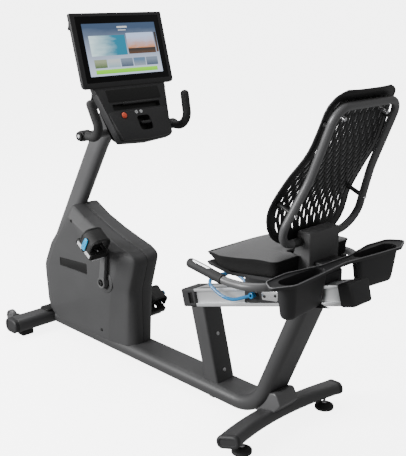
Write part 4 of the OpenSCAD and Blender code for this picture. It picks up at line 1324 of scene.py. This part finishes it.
def backrest_frame():
    bm = bmesh.new()
    start = ON_BACK @ shift(100, 0, 0) @ ALONG_X
    run = [[8], [72, 102, 180], [120], [250, 12, 0], [155], [50, 90, 180], [196], [50, 90, 180], [155],
           [250, 12, 0],
           [120], [72, 102, 180], [8]]
    sweep(bm, start, run, ring(12.5, 32), step=4)
    piece("backrest_frame_tube", bm, metallic_grey, "backrest", ["backrest_frame"])
    bm = bmesh.new()
    for s in SIDES:
        side = ON_BACK @ turn(90 * s, "Y")
        lathe(bm, side, [(9, 60), (9, 75), (13, 75), (14, 76.4), (14, 108), (13, 110), (10, 112),
                         (9, 112)], 40)
        for x, v, length in ((168, 120, 55), (148, 400, 20)):
            lathe(bm, ON_BACK @ shift(s * x, 0, v) @ turn(-90, "X"),
                  [(0, 0), (7, 0), (7, length - 6), (9, length - 3), (9.5, length), (0, length)], 24)
    piece("backrest_hubs_and_stubs", bm, black_coat, "backrest")
    bm = bmesh.new()
    for s in SIDES:
        lathe(bm, ON_BACK @ turn(90 * s, "Y"), [(0, 100), (9, 100), (9, 116), (8, 118), (0, 118)], 32)
        for x, v, depth in ((168, 120, 0), (101, 424, -8)):
            lathe(bm, ON_BACK @ shift(s * x, 0, v) @ turn(90, "X"),
                  [(0, depth - 12), (6.5, depth - 12), (6.5, depth + 14), (5, depth + 15.6),
                   (2.6, depth + 15.8),
                   (2.2, depth + 14), (0, depth + 14)], 24)
    piece("backrest_bolts", bm, bright_steel, "backrest")


def shell_point(u, v):
    """Point of the backrest panel's front, u from -1 to 1 across it and v up it."""
    half = curve([(-18, 112), (-8, 138), (14, 168), (56, 190), (190, 186), (330, 163), (430, 152),
                  (466, 144), (486, 128), (498, 100)], v)
    depth = curve([(-18, 29), (40, 50), (96, 62), (205, 46), (300, 24), (380, 23), (440, 26), (498, 15)], v)
    return ON_BACK @ Vector((u * half, depth + 5 * abs(u) ** 3 - 3, v))


def backrest_shell():
    columns, rows, low, pitch = 18, 10, 14.0, 46.0
    half_pitch = pitch / 2
    bm = bmesh.new()
    made = {}

    def vert(u, v):
        key = (round(u, 4), round(v, 3))
        if key not in made:
            made[key] = bm.verts.new(shell_point(u, v))
        return made[key]

    def across(k):
        return mix(-0.87, 0.87, k / columns)

    def slot(k, v):
        a, b = across(k), across(k + 1)
        outer = [vert(a, v), vert(b, v), vert(b, v + half_pitch), vert(b, v + pitch), vert(a, v + pitch),
                 vert(a, v + half_pitch)]
        middle, reach = (a + b) / 2, (b - a) / 2
        top = v > low + pitch * (rows - 2)
        tilt = 0.5 * reach if top else 0
        ends = (0.2, 0.8) if top else (0.11, 0.89)
        wide, slim = 0.36 * reach, 0.26 * reach
        loop = [(middle - slim - tilt, ends[0]), (middle + slim - tilt, ends[0]), (middle + wide, 0.5),
                (middle + slim + tilt, ends[1]), (middle - slim + tilt, ends[1]), (middle - wide, 0.5)]
        inner = [bm.verts.new(shell_point(x, v + pitch * t)) for x, t in loop]
        for i in range(6):
            bm.faces.new((outer[i], outer[(i + 1) % 6], inner[(i + 1) % 6], inner[i]))

    top = low + pitch * rows
    for k in range(columns):
        if k % 2:
            for v in (low, top - half_pitch):
                bm.faces.new((vert(across(k), v), vert(across(k + 1), v),
                              vert(across(k + 1), v + half_pitch),
                              vert(across(k), v + half_pitch)))
        for row in range(rows - k % 2):
            slot(k, low + pitch * row + half_pitch * (k % 2))
    sides = [low + half_pitch * i for i in range(2 * rows + 1)]
    for s in SIDES:
        for a, b in zip(sides, sides[1:]):
            for near, far in ((0.87, 0.93), (0.93, 1.0)):
                bm.faces.new((vert(s * near, a), vert(s * far, a), vert(s * far, b), vert(s * near, b)))
    us = [-1, -0.93] + [across(k) for k in range(columns + 1)] + [0.93, 1]
    for a, b in ((low, 4), (4, -6), (-6, -14), (-14, -18), (top, 482), (482, 491), (491, 498)):
        for i in range(len(us) - 1):
            bm.faces.new((vert(us[i], a), vert(us[i + 1], a), vert(us[i + 1], b), vert(us[i], b)))
    panel = piece("backrest_perforated_panel", bm, mesh_plastic, "backrest", ["backrest_shell"], sharp=70)
    thick = panel.modifiers.new("thickness", "SOLIDIFY")
    thick.thickness = 0.006
    thick.offset = 0
    surface = panel.modifiers.new("surface", "SUBSURF")
    surface.levels = surface.render_levels = 1
    bm = bmesh.new()
    heights = [-14, -6, 4] + sides + [482, 491]
    edge = [shell_point(u, -18) for u in us] + [shell_point(1, v) for v in heights]
    edge += [shell_point(u, 498) for u in reversed(us)] + [shell_point(-1, v) for v in reversed(heights)]
    thread(bm, edge, 4.4, 12, True)
    piece("backrest_rim_bead", bm, mesh_plastic, "backrest")


# ---- other CAD nodes ----

SLOT_FINISH = {
    "charcoal_paint": charcoal, "grey_paint": metallic_grey, "housing_plastic": housing_skin,
    "dark_plastic": dark_plastic, "aluminium": aluminium, "steel": bright_steel, "black_steel": black_coat,
    "rubber": rubber, "vinyl": vinyl, "mesh": mesh_plastic, "blue_plastic": lever_blue,
    "cyan_plastic": buckle_cyan, "red_plastic": button_red, "light_plastic": pale_plastic, "screen": glass,
}


def finish_cad_nodes():
    for part in frame["record"]["subparts"]:
        node = frame["nodes"][part["node"]]
        node.data.materials.clear()
        node.data.materials.append(SLOT_FINISH[part["material_slot"]])


# ---- stage ----


def area_light(name, place, target, size, power, tone=(1, 1, 1), height=None):
    light = bpy.data.lights.new(name, "AREA")
    light.energy = power
    light.color = tone
    light.size = size
    if height:
        light.shape = "RECTANGLE"
        light.size_y = height
    lamp = bpy.data.objects.new(name, light)
    scene.collection.objects.link(lamp)
    lamp.location = place
    lamp.rotation_mode = "QUATERNION"
    lamp.rotation_quaternion = (Vector(target) - Vector(place)).to_track_quat("-Z", "Y")
    lamp.visible_camera = False


def stage():
    """The floor, curved up into a backdrop, with the lights and the camera of the photo's view."""
    bm = bmesh.new()
    sheet = [[bm.verts.new((x, y, z)) for x in (-60, 60)] for y,
             z in ((-20, 0), (18, 0), (21, 1), (23, 4), (24, 20))]
    for a, b in zip(sheet, sheet[1:]):
        bm.faces.new((a[0], a[1], b[1], b[0]))
    mesh = bpy.data.meshes.new("floor")
    bm.to_mesh(mesh)
    bm.free()
    mesh.shade_smooth()
    floor = bpy.data.objects.new("floor", mesh)
    scene.collection.objects.link(floor)
    material, _, shader = blank("pale_floor", "floor")
    shader.inputs["Base Color"].default_value = (0.9, 0.9, 0.9, 1)
    shader.inputs["Roughness"].default_value = 0.8
    shader.inputs["Emission Color"].default_value = (1, 1, 1, 1)
    shader.inputs["Emission Strength"].default_value = 5.0
    floor.data.materials.append(material)
    floor.visible_diffuse = floor.visible_glossy = False
    world = bpy.data.worlds.new("studio")
    scene.world = world
    world.use_nodes = True
    sky = world.node_tree.nodes["Background"]
    sky.inputs["Color"].default_value = (1, 1, 1, 1)
    sky.inputs["Strength"].default_value = 0.45
    area_light("key", (-4.4, 1.6, 2.4), (0, 0, 0.5), 2.4, 480)
    area_light("top", (0.2, 1.2, 4.4), (0, 0, 0.4), 3.0, 130)
    lens = bpy.data.cameras.new("photo_view")
    lens.lens = 65.13
    lens.sensor_width = 36
    camera = bpy.data.objects.new("photo_view", lens)
    scene.collection.objects.link(camera)
    camera.location = (-1.944, -2.1785, 1.430)
    camera.rotation_mode = "QUATERNION"
    camera.rotation_quaternion = Vector((0.6677, 0.6915, -0.2756)).to_track_quat("-Z", "Y")
    scene.camera = camera


finish_cad_nodes()
main_tube()
mast()
front_stabilizer()
rear_stabilizer()
stabilizer_caps()
feet_and_studs()
rear_gusset()
seat_post()
rail()
for half in SIDES:
    housing_half(half)
housing_details()
for half in SIDES:
    crank_arm(half)
    pedal(half)
crank_fittings()
wheels()
console_bracket()
screen()
screen_picture()
pod()
seat_cushion()
seat_carriage()
side_handles()
tray()
seat_lever()
backrest_frame()
backrest_shell()
stage()
